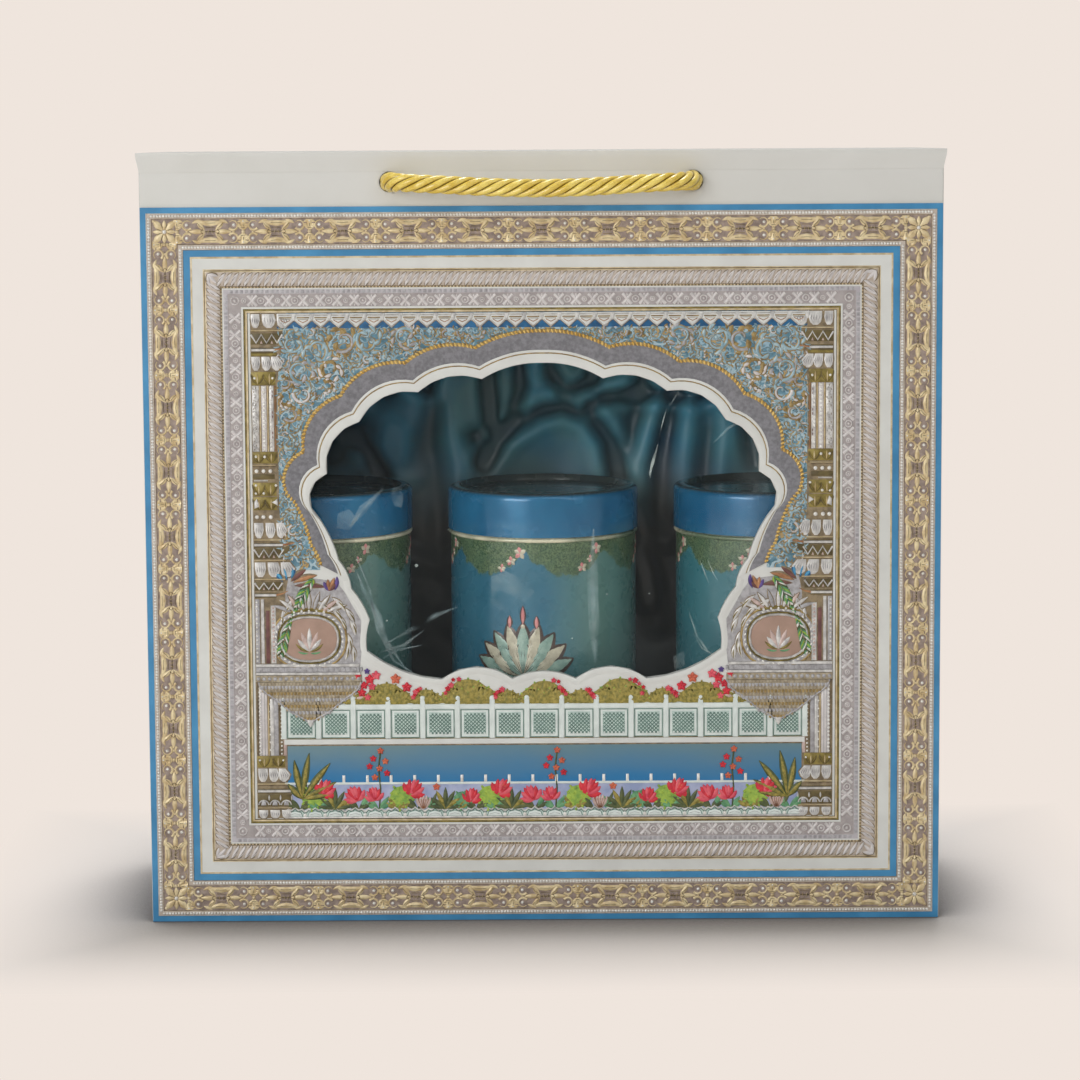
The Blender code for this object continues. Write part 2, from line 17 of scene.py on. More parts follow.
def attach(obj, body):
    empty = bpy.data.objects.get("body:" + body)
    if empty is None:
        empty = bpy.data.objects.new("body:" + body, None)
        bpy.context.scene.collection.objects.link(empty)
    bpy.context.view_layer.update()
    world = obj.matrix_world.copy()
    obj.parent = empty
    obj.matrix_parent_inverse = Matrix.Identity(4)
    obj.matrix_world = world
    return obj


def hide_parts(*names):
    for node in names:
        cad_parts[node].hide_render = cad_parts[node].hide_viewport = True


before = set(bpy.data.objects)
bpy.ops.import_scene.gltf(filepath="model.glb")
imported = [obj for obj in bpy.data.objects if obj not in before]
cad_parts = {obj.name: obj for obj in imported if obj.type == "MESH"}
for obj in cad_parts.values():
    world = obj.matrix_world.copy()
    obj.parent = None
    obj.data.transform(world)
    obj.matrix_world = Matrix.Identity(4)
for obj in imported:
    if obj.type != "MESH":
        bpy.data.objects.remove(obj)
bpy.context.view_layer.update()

MM = 0.001

# Sizes that part.py sets, repeated here
FRONT_Y = -0.0480
BACK_Y = 0.0480
SHEET_BACK_Y = -0.0483
SHEET_FACE_Y = -0.0488
SHEET_HALF_WIDTH = 149.7 * MM
SHEET_BOTTOM = 0.3 * MM
SHEET_TOP = 272.0 * MM
PICTURE_INSET = 39.6
WINDOW_HALF_WIDTH = 0.0869
WINDOW_SILL = 0.0933
WINDOW_HEIGHT = 0.1199
TIN_RADIUS = 0.0362
TIN_PITCH = 0.0883
TIN_Y = -0.0020
TIN_NAMES = ("left", "middle", "right")
TIN_FLOOR = 0.0023
TIN_HEIGHT = 0.1600
TIN_WALL = 0.0008
SEAM = 0.0003
BASE_SEAM_HEIGHT = 0.0030
BEAD_HEIGHT = 0.0016
BEAD_WIDTH = 0.0008
LID_SKIRT_HEIGHT = 0.0168
LID_WALL = 0.0006
LID_INNER_RADIUS = 0.0365
LID_OUTER_RADIUS = 0.0371
LID_ROUND = 0.0026
LID_RIM_WIDTH = 0.0042
LID_RIM_SLOPE = 0.0008
LID_PANEL_DEPTH = 0.0022
ROPE_HOLE_HALF_SPACING = 0.0565
ROPE_HOLE_Z = 0.2810
ROPE_STANDOFF = 0.0125
ROPE_SAG = 0.0024
ROPE_LEG_END = 0.0220
KNOT_LENGTH = 0.0115
WINDOW_CORNER_SHARES = (
    (0.000, 1.000, 0.075),
    (0.262, 0.950, 0.14),
    (0.537, 0.910, 0.17),
    (0.792, 0.818, 0.20),
    (0.935, 0.655, 0.30),
    (0.967, 0.510, -0.04),
    (0.888, 0.380, -0.08),
    (0.835, 0.290, -0.05),
    (0.757, 0.190, 0.06),
    (0.771, 0.092, 0.08),
    (0.445, 0.000, -0.17),
    (0.138, 0.000, -0.12),
)
ARC_STEPS = 10
ROPE_ROUTE_SHARES = (
    (0.000, -1.200, 0.000),
    (0.000, -0.700, 0.000),
    (0.001, -0.150, 0.000),
    (0.010, 0.220, 0.010),
    (0.052, 0.590, 0.050),
    (0.128, 0.870, 0.120),
    (0.240, 1.000, 0.250),
    (0.380, 1.020, 0.420),
    (0.540, 1.020, 0.640),
    (0.700, 1.020, 0.830),
    (0.850, 1.020, 0.950),
    (1.000, 1.020, 1.000),
)


# Camera

def make_camera():
    data = bpy.data.cameras.new("camera")
    data.lens = 98.1
    data.sensor_width = 36
    data.shift_y = -0.1022
    data.clip_start = 0.05
    data.clip_end = 30
    camera = bpy.data.objects.new("camera", data)
    camera.location = (-0.001, FRONT_Y - 1.1, 0.297)
    lean = Matrix.Rotation(radians(90 - 5.66), 3, "X")
    camera.rotation_euler = (lean @ Matrix.Rotation(radians(-0.34), 3, "Z")).to_euler()
    bpy.context.scene.collection.objects.link(camera)
    bpy.context.scene.camera = camera


make_camera()


# Materials

def linear(red, green, blue):
    """A screen colour of 0 to 255 as linear values."""
    shares = [value / 255 for value in (red, green, blue)]
    return tuple(s / 12.92 if s <= 0.04045 else ((s + 0.055) / 1.055) ** 2.4 for s in shares)


NOISE_ROUGHNESS = 0.55


class Nodes:
    """Short names for adding and joining a material's nodes. A tuple is a screen colour."""

    def __init__(self, name):
        self.material = bpy.data.materials.new(name)
        self.material.use_nodes = True
        self.tree = self.material.node_tree
        self.shader = self.tree.nodes["Principled BSDF"]
        self.place = None

    def feed(self, socket, value):
        """Joins another node's output to the socket, or sets the socket's own value."""
        if isinstance(value, bpy.types.NodeSocket):
            self.tree.links.new(value, socket)
        elif isinstance(value, tuple):
            socket.default_value = (*linear(*value), 1)
        else:
            socket.default_value = value

    def set(self, **values):
        for name, value in values.items():
            self.feed(self.shader.inputs[name.replace("_", " ")], value)

    def node(self, kind, *values, **settings):
        """A new node with these values on its first inputs."""
        made = self.tree.nodes.new("ShaderNode" + kind)
        for name, value in settings.items():
            setattr(made, name, value)
        for socket, value in zip(made.inputs, values):
            self.feed(socket, value)
        return made

    def where(self):
        """The point on the object, in metres."""
        if self.place is None:
            self.place = self.node("TexCoord").outputs["Object"]
        return self.place

    def axes(self):
        """The point's x, y and z."""
        return self.node("SeparateXYZ", self.where()).outputs

    def math(self, operation, first, second=0.0, third=0.0):
        return self.node("Math", first, second, third, operation=operation).outputs[0]

    def ramp_between(self, value, low, high, out_low=0.0, out_high=1.0):
        return self.node("MapRange", value, low, high, out_low, out_high).outputs[0]

    def mix(self, share, first, second):
        made = self.node("Mix", share, data_type="RGBA")
        self.feed(made.inputs[6], first)
        self.feed(made.inputs[7], second)
        return made.outputs[2]

    def noise(self, scale, detail=3.0, stretch=None):
        place = self.where()
        if stretch:
            made = self.node("Mapping", place)
            made.inputs["Scale"].default_value = stretch
            place = made.outputs[0]
        return self.node("TexNoise", place, 0.0, scale, detail, NOISE_ROUGHNESS).outputs["Fac"]

    def bump(self, height, strength, distance):
        made = self.node("Bump", strength, distance)
        self.feed(made.inputs["Height"], height)
        self.feed(self.shader.inputs["Normal"], made.outputs[0])

    def colour(self, value):
        self.set(Base_Color=value)

    def rough(self, source, low, high):
        self.set(Roughness=self.ramp_between(source, 0.3, 0.7, low, high))

    def crowding_for_painted_shade(self, distance, low, high):
        """From 0 where other surfaces are close by to 1 in the open; mixed into a colour, it
        paints shade.
        """
        made = self.node("AmbientOcclusion", samples=8)
        made.inputs["Distance"].default_value = distance
        return self.ramp_between(made.outputs["AO"], low, high)


def printed(name, light, dark, patch=420, roughness=(0.38, 0.55), metal=0.0, relief=0.25,
            grain=2600, coat=0.0):
    """Ink or foil on embossed board: two tones in small patches, with a paper grain."""
    nodes = Nodes(name)
    nodes.set(Metallic=metal, Coat_Weight=coat, Coat_Roughness=0.25)
    patches = nodes.noise(patch, 4.0)
    share = nodes.ramp_between(patches, 0.36, 0.64)
    nodes.colour(nodes.mix(share, dark, light))
    nodes.rough(nodes.noise(patch / 2, 2.0), *roughness)
    nodes.bump(nodes.noise(grain, 2.0), relief, 0.00012)
    return nodes.material


def filigree(name):
    """A blue ground covered with fine curling lines in gold and pale blue."""
    nodes = Nodes(name)
    nodes.set(Metallic=0.15)
    curls = nodes.noise(190, 1.5)
    others = nodes.noise(260, 1.0, (1.0, 1.0, 1.3))
    patches = nodes.ramp_between(nodes.noise(300, 3.0), 0.36, 0.64)
    tone = nodes.mix(patches, (74, 112, 128), (112, 150, 166))
    lines = None
    for source, level, width, line in ((others, 0.47, 0.045, (150, 178, 192)),
                                       (curls, 0.56, 0.030, (168, 190, 198)),
                                       (curls, 0.50, 0.018, (176, 150, 102)),
                                       (others, 0.55, 0.014, (140, 116, 74))):
        off = nodes.math("ABSOLUTE", nodes.math("SUBTRACT", source, level))
        on = nodes.ramp_between(off, width * 0.6, width, 1.0, 0.0)
        tone = nodes.mix(on, tone, line)
        lines = on if lines is None else nodes.math("MAXIMUM", lines, on)
    nodes.colour(tone)
    nodes.rough(curls, 0.32, 0.5)
    nodes.bump(lines, 0.7, 0.0002)
    return nodes.material


def paper(name, light, dark, header=None):
    """Wrapping paper over board, faintly clouded; header is its dark and light tone up there."""
    nodes = Nodes(name)
    nodes.set(Coat_Weight=0.12, Coat_Roughness=0.35)
    clouds = nodes.ramp_between(nodes.noise(26, 5.0), 0.35, 0.65)
    tone = nodes.mix(clouds, dark, light)
    if header:
        in_header = nodes.math("GREATER_THAN", nodes.axes()[2], SHEET_TOP)
        tone = nodes.mix(in_header, tone, nodes.mix(clouds, *header))
    nodes.colour(tone)
    nodes.rough(nodes.noise(90, 3.0), 0.42, 0.55)
    nodes.bump(nodes.noise(1500, 4.0, (1, 1, 0.45)), 0.20, 0.00010)
    return nodes.material


# Gathering and making pieces

def give(node, material):
    """Puts a material on a CAD node that is shown as it is."""
    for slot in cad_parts[node].material_slots:
        slot.material = material


def link(name, mesh, material, body):
    piece = bpy.data.objects.new(name, mesh)
    if material:
        mesh.materials.append(material)
    bpy.context.scene.collection.objects.link(piece)
    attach(piece, body)
    return piece


def mesh_of(name, points, faces, smooth_angle=None, tones=None):
    mesh = bpy.data.meshes.new(name)
    mesh.from_pydata(points, [], faces)
    if tones:
        mesh.polygons.foreach_set("material_index", tones)
    shape = bmesh.new()
    shape.from_mesh(mesh)
    bmesh.ops.recalc_face_normals(shape, faces=shape.faces)
    shape.to_mesh(mesh)
    shape.free()
    if smooth_angle:
        mesh.shade_smooth()
        mesh.set_sharp_from_angle(angle=radians(smooth_angle))
    return mesh


def wall(near, far, size):
    """Faces between two rings of points, which start at these numbers."""
    return [(near + k, near + (k + 1) % size, far + (k + 1) % size, far + k)
            for k in range(size)]


def bands(size, count, closed=False):
    """Faces between neighbouring rings, which follow each other; closed joins the two ends."""
    return [face for i in range(count if closed else count - 1)
            for face in wall(i * size, (i + 1) % count * size, size)]


def capped(size, count):
    """The same faces after one at each end."""
    ends = [tuple(range(size)), tuple(range((count - 1) * size, count * size))]
    return ends + bands(size, count)


def domed(size):
    """Faces of three rings under one point, with one more at the foot."""
    crown = [(2 * size + k, 2 * size + (k + 1) % size, 3 * size) for k in range(size)]
    return [tuple(range(size))] + bands(size, 3) + crown


# How far shapes reach into the face under them, in millimetres
SINK = 0.06
PLATE_SINK = 0.2
STRIP_SINK = 0.3
BEVEL = 0.15
# A ridge's section: share of its half width, share of its height
SECTION = ((-1.0, 0.0), (-0.64, 0.74), (0.0, 1.0), (0.64, 0.74), (1.0, 0.0))


def placer(x, z, turn=0.0, mirror=1, stretch=1.0):
    """Carries a motif's own (u, v) to its place on the sheet, all in millimetres."""
    def put(u, v):
        u *= mirror * stretch
        return x + u * cos(turn) - v * sin(turn), z + u * sin(turn) + v * cos(turn)
    return put


def plain(u, v):
    return u, v


def even(_):
    return 1.0


def pointed(t):
    return max(sin(pi * t) ** 0.75, 0.10)


def tailed(t):
    return 1.0 - 0.72 * t


def swelling(t):
    return 0.35 + 0.65 * sin(pi * t)


def waisted(t):
    return 1.0 - 0.68 * sin(pi * t)


def circle(u, v, radius, count=14, start=0.0, sweep=tau):
    """Points round a circle, or from end to end of an arc."""
    steps = count if sweep == tau else count - 1
    return [(u + radius * cos(start + sweep * k / steps),
             v + radius * sin(start + sweep * k / steps)) for k in range(count)]


def on_sheet(x, z, up):
    """A drawn point in metres."""
    return x * MM, SHEET_FACE_Y - up * MM, z * MM


class Relief:
    """Raised shapes of one finish on one face, gathered into one mesh of closed bodies."""

    def __init__(self, name, material):
        self.name = name
        self.material = material
        self.points = []
        self.faces = []

    def add(self, points, faces):
        start = len(self.points)
        self.points += points
        self.faces += [tuple(start + i for i in face) for face in faces]

    def bead(self, put, u, v, radius, height, sides=8, base=0.0):
        x, z = put(u, v)
        points = []
        for share, up in ((1.0, -SINK), (0.93, 0.45 * height), (0.58, 0.86 * height)):
            points += [(px, pz, base + up) for px, pz in circle(x, z, radius * share, sides)]
        self.add(points + [(x, z, base + height)], domed(sides))

    def ridge(self, put, line, width, height, shape=even, closed=False, base=0.0):
        """A rounded raised line along (u, v) points; shape gives its width's share along it."""
        line = [put(u, v) for u, v in line]
        count = len(line)
        points = []
        for i, (x, z) in enumerate(line):
            before = line[(i - 1) % count] if closed or i else line[i]
            after = line[(i + 1) % count] if closed or i < count - 1 else line[i]
            along_x = after[0] - before[0]
            along_z = after[1] - before[1]
            length = hypot(along_x, along_z) or 1.0
            share = shape(i / (count if closed else count - 1))
            half = width / 2 * share
            lift = height * (0.45 + 0.55 * share)
            points += [(x - along_z / length * half * across,
                        z + along_x / length * half * across,
                        base + (up * lift if up else -SINK)) for across, up in SECTION]
        size = len(SECTION)
        self.add(points, bands(size, count, True) if closed else capped(size, count))

    def lump(self, put, outline, height, inset=0.3, crown=1.15, base=0.0):
        """A raised cushion with this (u, v) outline."""
        rim = [put(u, v) for u, v in outline]
        count = len(rim)
        mid_x = sum(x for x, _ in rim) / count
        mid_z = sum(z for _, z in rim) / count
        points = []
        for share, up in ((0, -SINK), (0, height * 0.62), (inset, height)):
            points += [(x + (mid_x - x) * share, z + (mid_z - z) * share, base + up)
                       for x, z in rim]
        self.add(points + [(mid_x, mid_z, base + height * crown)], domed(count))

    def leaf(self, put, u, v, angle, length, width, height, bend=0.0, steps=6, base=0.0):
        """A pointed leaf from (u, v); bend turns it on its way."""
        line = []
        for i in range(steps + 1):
            turn = angle + bend * (i / steps)
            line.append((u, v))
            u += cos(turn) * length / steps
            v += sin(turn) * length / steps
        self.ridge(put, line, width, height, pointed, base=base)

    def slab(self, put, u0, v0, u1, v1, height, base=0.0):
        """A raised bar with bevelled edges."""
        low_u, high_u = sorted((u0, u1))
        low_v, high_v = sorted((v0, v1))
        bevel = min(BEVEL, (high_u - low_u) / 3, (high_v - low_v) / 3)
        points = []
        for grow, up in ((0, -SINK), (0, height * 0.6), (bevel, height)):
            for u, v in ((low_u + grow, low_v + grow), (high_u - grow, low_v + grow),
                         (high_u - grow, high_v - grow), (low_u + grow, high_v - grow)):
                points.append((*put(u, v), base + up))
        self.add(points, capped(4, 3))

    def plate(self, outline, high):
        """A flat raised area with this outline."""
        rim = [Vector((x, z, 0)) for x, z in outline]
        count = len(rim)
        triangles = tessellate_polygon([rim])
        points = [(p.x, p.y, up) for up in (-PLATE_SINK, high) for p in rim]
        faces = [tuple(start + i for i in t) for start in (0, count) for t in triangles]
        self.add(points, faces + wall(0, count, count))

    def strip(self, inner, outer, profile):
        """A band between two matching open lines; profile is (share across, height) points."""
        profile = ((0, -STRIP_SINK), *profile, (1, -STRIP_SINK))
        points = [(ax + (bx - ax) * share, az + (bz - az) * share, up)
                  for (ax, az), (bx, bz) in zip(inner, outer) for share, up in profile]
        self.add(points, capped(len(profile), len(inner)))

    def finish(self, body="box", slot="printed_sheet", smooth_angle=50, to_world=on_sheet):
        points = [to_world(*point) for point in self.points]
        mesh = mesh_of(self.name, points, self.faces, smooth_angle)
        link(self.name, mesh, self.material, body)


# The window's outline, as part.py draws it

def window_corners():
    right = [(Vector((across * WINDOW_HALF_WIDTH, WINDOW_SILL + up * WINDOW_HEIGHT)), rise)
             for across, up, rise in WINDOW_CORNER_SHARES]
    left = [(Vector((-right[i][0].x, right[i][0].y)), right[i - 1][1])
            for i in range(len(right) - 1, 0, -1)]
    return right + left


def arc_circle(start, end, rise_share):
    chord = end - start
    rise = rise_share * chord.length
    radius = ((chord.length / 2) ** 2 + rise ** 2) / (2 * rise)
    outward = Vector((-chord.y, chord.x)).normalized()
    return (start + end) / 2 + outward * (rise - radius), radius


def arc_points(centre, start, end, steps=ARC_STEPS):
    first = atan2(start.y - centre.y, start.x - centre.x)
    last = atan2(end.y - centre.y, end.x - centre.x)
    sweep = remainder(last - first, tau)
    radius = (start - centre).length
    angles = [first + sweep * step / steps for step in range(steps)]
    return [(centre.x + radius * cos(a), centre.y + radius * sin(a)) for a in angles]


def in_mm(points):
    return [(x / MM, z / MM) for x, z in points]


def window_outline():
    """The cut edge of the window, all round, in millimetres."""
    corners = window_corners()
    points = []
    for index, (start, rise_share) in enumerate(corners):
        end = corners[(index + 1) % len(corners)][0]
        centre, _ = arc_circle(start, end, rise_share)
        points += arc_points(centre, start, end)
    return in_mm(points)


ARCH_CENTRE = 93.0
ARCH_ARCS = 7
ARCH_FOOT = 130.6


def arch_line(offset, steps=ARC_STEPS):
    """The window's arch from foot to foot, moved outwards with its cusps kept."""
    corners = window_corners()
    right = []
    for index in range(ARCH_ARCS):
        start, rise_share = corners[index]
        right += arc_points(arc_circle(start, corners[index + 1][0], rise_share)[0], start,
                            corners[index + 1][0], steps)
    line = in_mm([(-x, z) for x, z in reversed(right[1:])] + right)
    line = [(x, z) for x, z in line if z >= ARCH_FOOT]
    moved = []
    for x, z in line:
        reach = hypot(x, z - ARCH_CENTRE)
        moved.append((x + x / reach * offset, z + (z - ARCH_CENTRE) / reach * offset))
    return moved


def evenly(line, pitch):
    """Points at an even pitch along a line, each with the line's direction there."""
    lengths = [dist(a, b) for a, b in zip(line, line[1:])]
    total = sum(lengths)
    count = max(int(round(total / pitch)), 1)
    placed = []
    index = 0
    passed = 0.0
    for k in range(count):
        goal = (k + 0.5) * total / count
        while index < len(lengths) - 1 and passed + lengths[index] < goal:
            passed += lengths[index]
            index += 1
        t = (goal - passed) / lengths[index]
        (ax, az), (bx, bz) = line[index], line[index + 1]
        placed.append((ax + (bx - ax) * t, az + (bz - az) * t, atan2(bz - az, bx - ax)))
    return placed


WINDOW = window_outline()
HALF = SHEET_HALF_WIDTH / MM
LOW = SHEET_BOTTOM / MM
HIGH = SHEET_TOP / MM

PRINTED = []


def raised(piece, finish, *ink, **more):
    """A relief of the print, in a finish that is there or in a new one of this name."""
    made = Relief("print_" + piece, printed(finish, *ink, **more) if ink else finish)
    PRINTED.append(made)
    return made


# Finishes of the print that the sheet itself shows
BLUE = printed("blue_ink", (70, 144, 190), (56, 126, 170), 60, (0.35, 0.48))
CREAM = printed("cream_ink", (216, 217, 212), (207, 207, 202), 60, (0.42, 0.55), relief=0.15)
PALE_GOLD = printed("pale_gold_foil", (224, 208, 174), (190, 168, 128), 300, (0.28, 0.42), 0.3)
VIOLET = printed("recess_ink", (162, 145, 134), (128, 112, 103), 500, (0.5, 0.65))
BROWN = printed("brown_ink", (146, 129, 100), (106, 92, 70), 500, (0.5, 0.65))
IVORY = printed("ivory_foil", (228, 222, 206), (198, 188, 166), 420, (0.3, 0.45), 0.2)
BEIGE = printed("beige_ink", (198, 186, 174), (176, 162, 148), 400, (0.42, 0.56), 0.1)
LILAC = printed("lilac_ink", (192, 187, 190), (176, 170, 174), 240, (0.42, 0.55), 0.05)
LATTICE = printed("lattice_foil", (216, 211, 209), (196, 190, 188), 300, (0.35, 0.5), 0.1)
GREY_LILAC = printed("grey_lilac_ink", (172, 164, 162), (156, 148, 146), 300, (0.45, 0.58), 0.05)
OLIVE = printed("olive_foil", (150, 134, 70), (108, 94, 48), 420, (0.35, 0.5), 0.3)
DARK_OLIVE = printed("dark_olive_ink", (108, 94, 54), (78, 66, 38), 420, (0.42, 0.58), 0.1)

gold = raised("gold", "gold_foil", (230, 213, 172), (198, 174, 130), 330, (0.28, 0.44), 0.18)
pale = raised("pale_gold", PALE_GOLD)
pearl = raised("pearl_beads", "pearl_foil", (240, 239, 234), (214, 210, 202), 500, (0.25, 0.4),
               0.15)
brown = raised("brown", BROWN)
silver = raised("silver", "silver_foil", (220, 218, 214), (180, 177, 174), 420, (0.28, 0.42),
                0.25)
white = raised("moulding_leaves", LATTICE)
lilac = raised("lattice", LATTICE)
flute = raised("flutes", "flute_foil", (182, 180, 182), (150, 147, 148), 600, (0.32, 0.46), 0.2)
olive = raised("olive", OLIVE)
dark_olive = raised("dark_olive", DARK_OLIVE)
edging = raised("scroll_edges", "outline_foil", (172, 148, 98), (128, 106, 64), 420, (0.32, 0.48),
                0.3)
bright = raised("arch_cord", "bright_gold_foil", (244, 212, 132), (214, 170, 84), 700,
                (0.2, 0.34), 0.35)
sky = raised("sky_ground", filigree("sky_foil"))
bright_sky = raised("bright_sky", "bright_sky_ink", (84, 158, 196), (52, 122, 166), 160,
                    (0.35, 0.5), 0.1)
scroll = raised("sky_scrolls", "silver_blue_foil", (168, 190, 196), (118, 148, 160), 300,
                (0.28, 0.42), 0.25)
rust = raised("rust", "rust_foil", (188, 138, 96), (148, 102, 70), 300, (0.35, 0.5), 0.25)
rose = raised("rose", "rose_foil", (214, 192, 184), (182, 158, 150), 420, (0.32, 0.46), 0.15)
stone = raised("stone_band", "stone_ink", (132, 131, 135), (108, 107, 111), 700, (0.5, 0.62),
               relief=0.6, grain=1500)
cream = raised("cream_border", CREAM)
deep = raised("deep_blue", "deep_blue_ink", (30, 100, 146), (18, 72, 112), 300, (0.35, 0.5))
terracotta = raised("terracotta", "terracotta_ink", (172, 142, 126), (158, 130, 114), 120,
                    (0.5, 0.62))
maroon = raised("maroon", "maroon_ink", (122, 78, 72), (92, 58, 56), 300, (0.45, 0.6))
scales = raised("bracket_ground", "scale_ink", (176, 164, 142), (140, 127, 104), 600,
                (0.45, 0.6), 0.1)
plum = raised("plum", "plum_ink", (104, 84, 150), (74, 56, 116), 300, (0.4, 0.55), 0.1)
mint = raised("mint", "mint_ink", (196, 212, 204), (176, 194, 187), 200, (0.45, 0.58))
pale_mint = raised("pale_mint", "pale_mint_ink", (222, 229, 224), (208, 216, 211), 200,
                   (0.45, 0.58))
mint_dark = raised("mint_lines", "mint_line_ink", (112, 142, 130), (86, 116, 106), 300,
                   (0.45, 0.6))
hedge = raised("olive_fans", "olive_green_ink", (168, 150, 74), (114, 108, 44), 900, (0.5, 0.65),
               relief=0.5)
leaf_dark = raised("dark_leaves", "leaf_green_ink", (98, 104, 60), (60, 74, 44), 500,
                   (0.42, 0.58))
leaf_light = raised("light_leaves", "lime_green_ink", (166, 190, 74), (118, 156, 66), 500,
                    (0.42, 0.58), relief=0.5)
leaf_cool = raised("cool_leaves", "cool_green_ink", (112, 164, 116), (76, 130, 92), 400,
                   (0.42, 0.58))
red = raised("red_petals", "red_ink", (218, 50, 62), (182, 32, 52), 400, (0.4, 0.55))
pink = raised("pink_petals", "pink_ink", (228, 104, 112), (206, 62, 86), 400, (0.4, 0.55))
coral = raised("coral_petals", "coral_ink", (214, 116, 82), (188, 84, 62), 400, (0.4, 0.55))


# The printed sheet and its frame

# Rings from the sheet's edge inwards: where each starts, its height there and its finish
RINGS = (
    (0.0, 0.0, BLUE), (2.15, 0.0, IVORY), (2.3, 0.3, BEIGE), (4.1, 0.3, BROWN),
    (4.35, 0.10, VIOLET), (13.75, 0.10, BROWN), (14.0, 0.3, BEIGE), (15.8, 0.3, BROWN),
    (15.95, 0.0, BLUE), (18.4, 0.0, PALE_GOLD), (18.5, 0.12, PALE_GOLD), (19.1, 0.12, CREAM),
    (19.2, 0.0, CREAM), (23.1, 0.0, PALE_GOLD), (23.2, 0.15, PALE_GOLD), (23.5, 0.15, BROWN),
    (23.6, 0.0, BROWN), (23.8, 0.0, PALE_GOLD), (23.9, 0.3, PALE_GOLD), (24.2, 0.4, BEIGE),
    (25.2, 0.72, BEIGE), (26.8, 0.85, BEIGE), (28.4, 0.72, BEIGE), (29.4, 0.4, BROWN),
    (29.6, 0.3, BROWN), (30.2, 0.3, CREAM), (30.7, 0.3, LILAC), (32.3, 0.3, GREY_LILAC),
    (32.5, 0.2, GREY_LILAC), (37.2, 0.2, CREAM), (37.35, 0.45, CREAM), (38.0, 0.45, DARK_OLIVE),
    (38.15, 0.2, OLIVE), (38.7, 0.2, PALE_GOLD), (38.85, 0.45, PALE_GOLD),
    (39.4, 0.45, DARK_OLIVE), (PICTURE_INSET, 0.0, CREAM),
)
RING_TONES = (BLUE, PALE_GOLD, VIOLET, IVORY, CREAM, BROWN, LILAC, GREY_LILAC, OLIVE, DARK_OLIVE,
              BEIGE)


def ring(inset, up):
    x = HALF - inset
    low = LOW + inset
    high = HIGH - inset
    return [(-x, low, up), (x, low, up), (x, high, up), (-x, high, up)]


def make_sheet():
    """The embossed sheet itself, with its window, as one closed body."""
    rings = [ring(inset, up) for inset, up, _ in RINGS]
    thick = (SHEET_BACK_Y - SHEET_FACE_Y) / MM
    points = [point for item in rings for point in item]
    faces = bands(4, len(rings))
    tones = [RING_TONES.index(tone) for _, _, tone in RINGS[:-1] for _ in range(4)]
    inner = len(points) - 4
    points += [(x, z, 0.0) for x, z in WINDOW]
    back = len(points)
    points += [(x, z, -thick) for x, z, _ in rings[0]] + [(x, z, -thick) for x, z in WINDOW]
    hole = [Vector((x, z, 0)) for x, z in WINDOW]
    for start, outline in ((inner, rings[-1]), (back, rings[0])):
        rim = [Vector((x, z, 0)) for x, z, _ in outline]
        faces += [tuple(start + i for i in triangle)
                  for triangle in tessellate_polygon([rim, hole])]
    faces += wall(0, back, 4) + wall(inner + 4, back + 4, len(WINDOW))
    tones += [RING_TONES.index(CREAM)] * (len(faces) - len(tones))
    mesh = mesh_of("print_sheet", [on_sheet(*point) for point in points], faces, tones=tones)
    for tone in RING_TONES:
        mesh.materials.append(tone)
    sheet = link("print_sheet", mesh, None, "box")
    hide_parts("front_print")


make_sheet()


def frame_sides(inset):
    """Each side's middle, its direction and its length along a line at that inset."""
    x = HALF - inset
    mid = (LOW + HIGH) / 2
    half_height = (HIGH - LOW) / 2 - inset
    return ((0, LOW + inset, 0.0, 2 * x), (x, mid, pi / 2, 2 * half_height),
            (0, HIGH - inset, pi, 2 * x), (-x, mid, -pi / 2, 2 * half_height))


def along_frame(inset, pitch, margin=0.0):
    """Places along all four sides at about this pitch: x, z, turn, scale and count."""
    for x, z, turn, length in frame_sides(inset):
        run = length - 2 * margin
        count = max(round(run / pitch), 1)
        for k in range(count):
            away = (k + 0.5) / count * run - run / 2
            yield (x + away * cos(turn), z + away * sin(turn), turn, run / count / pitch, k)


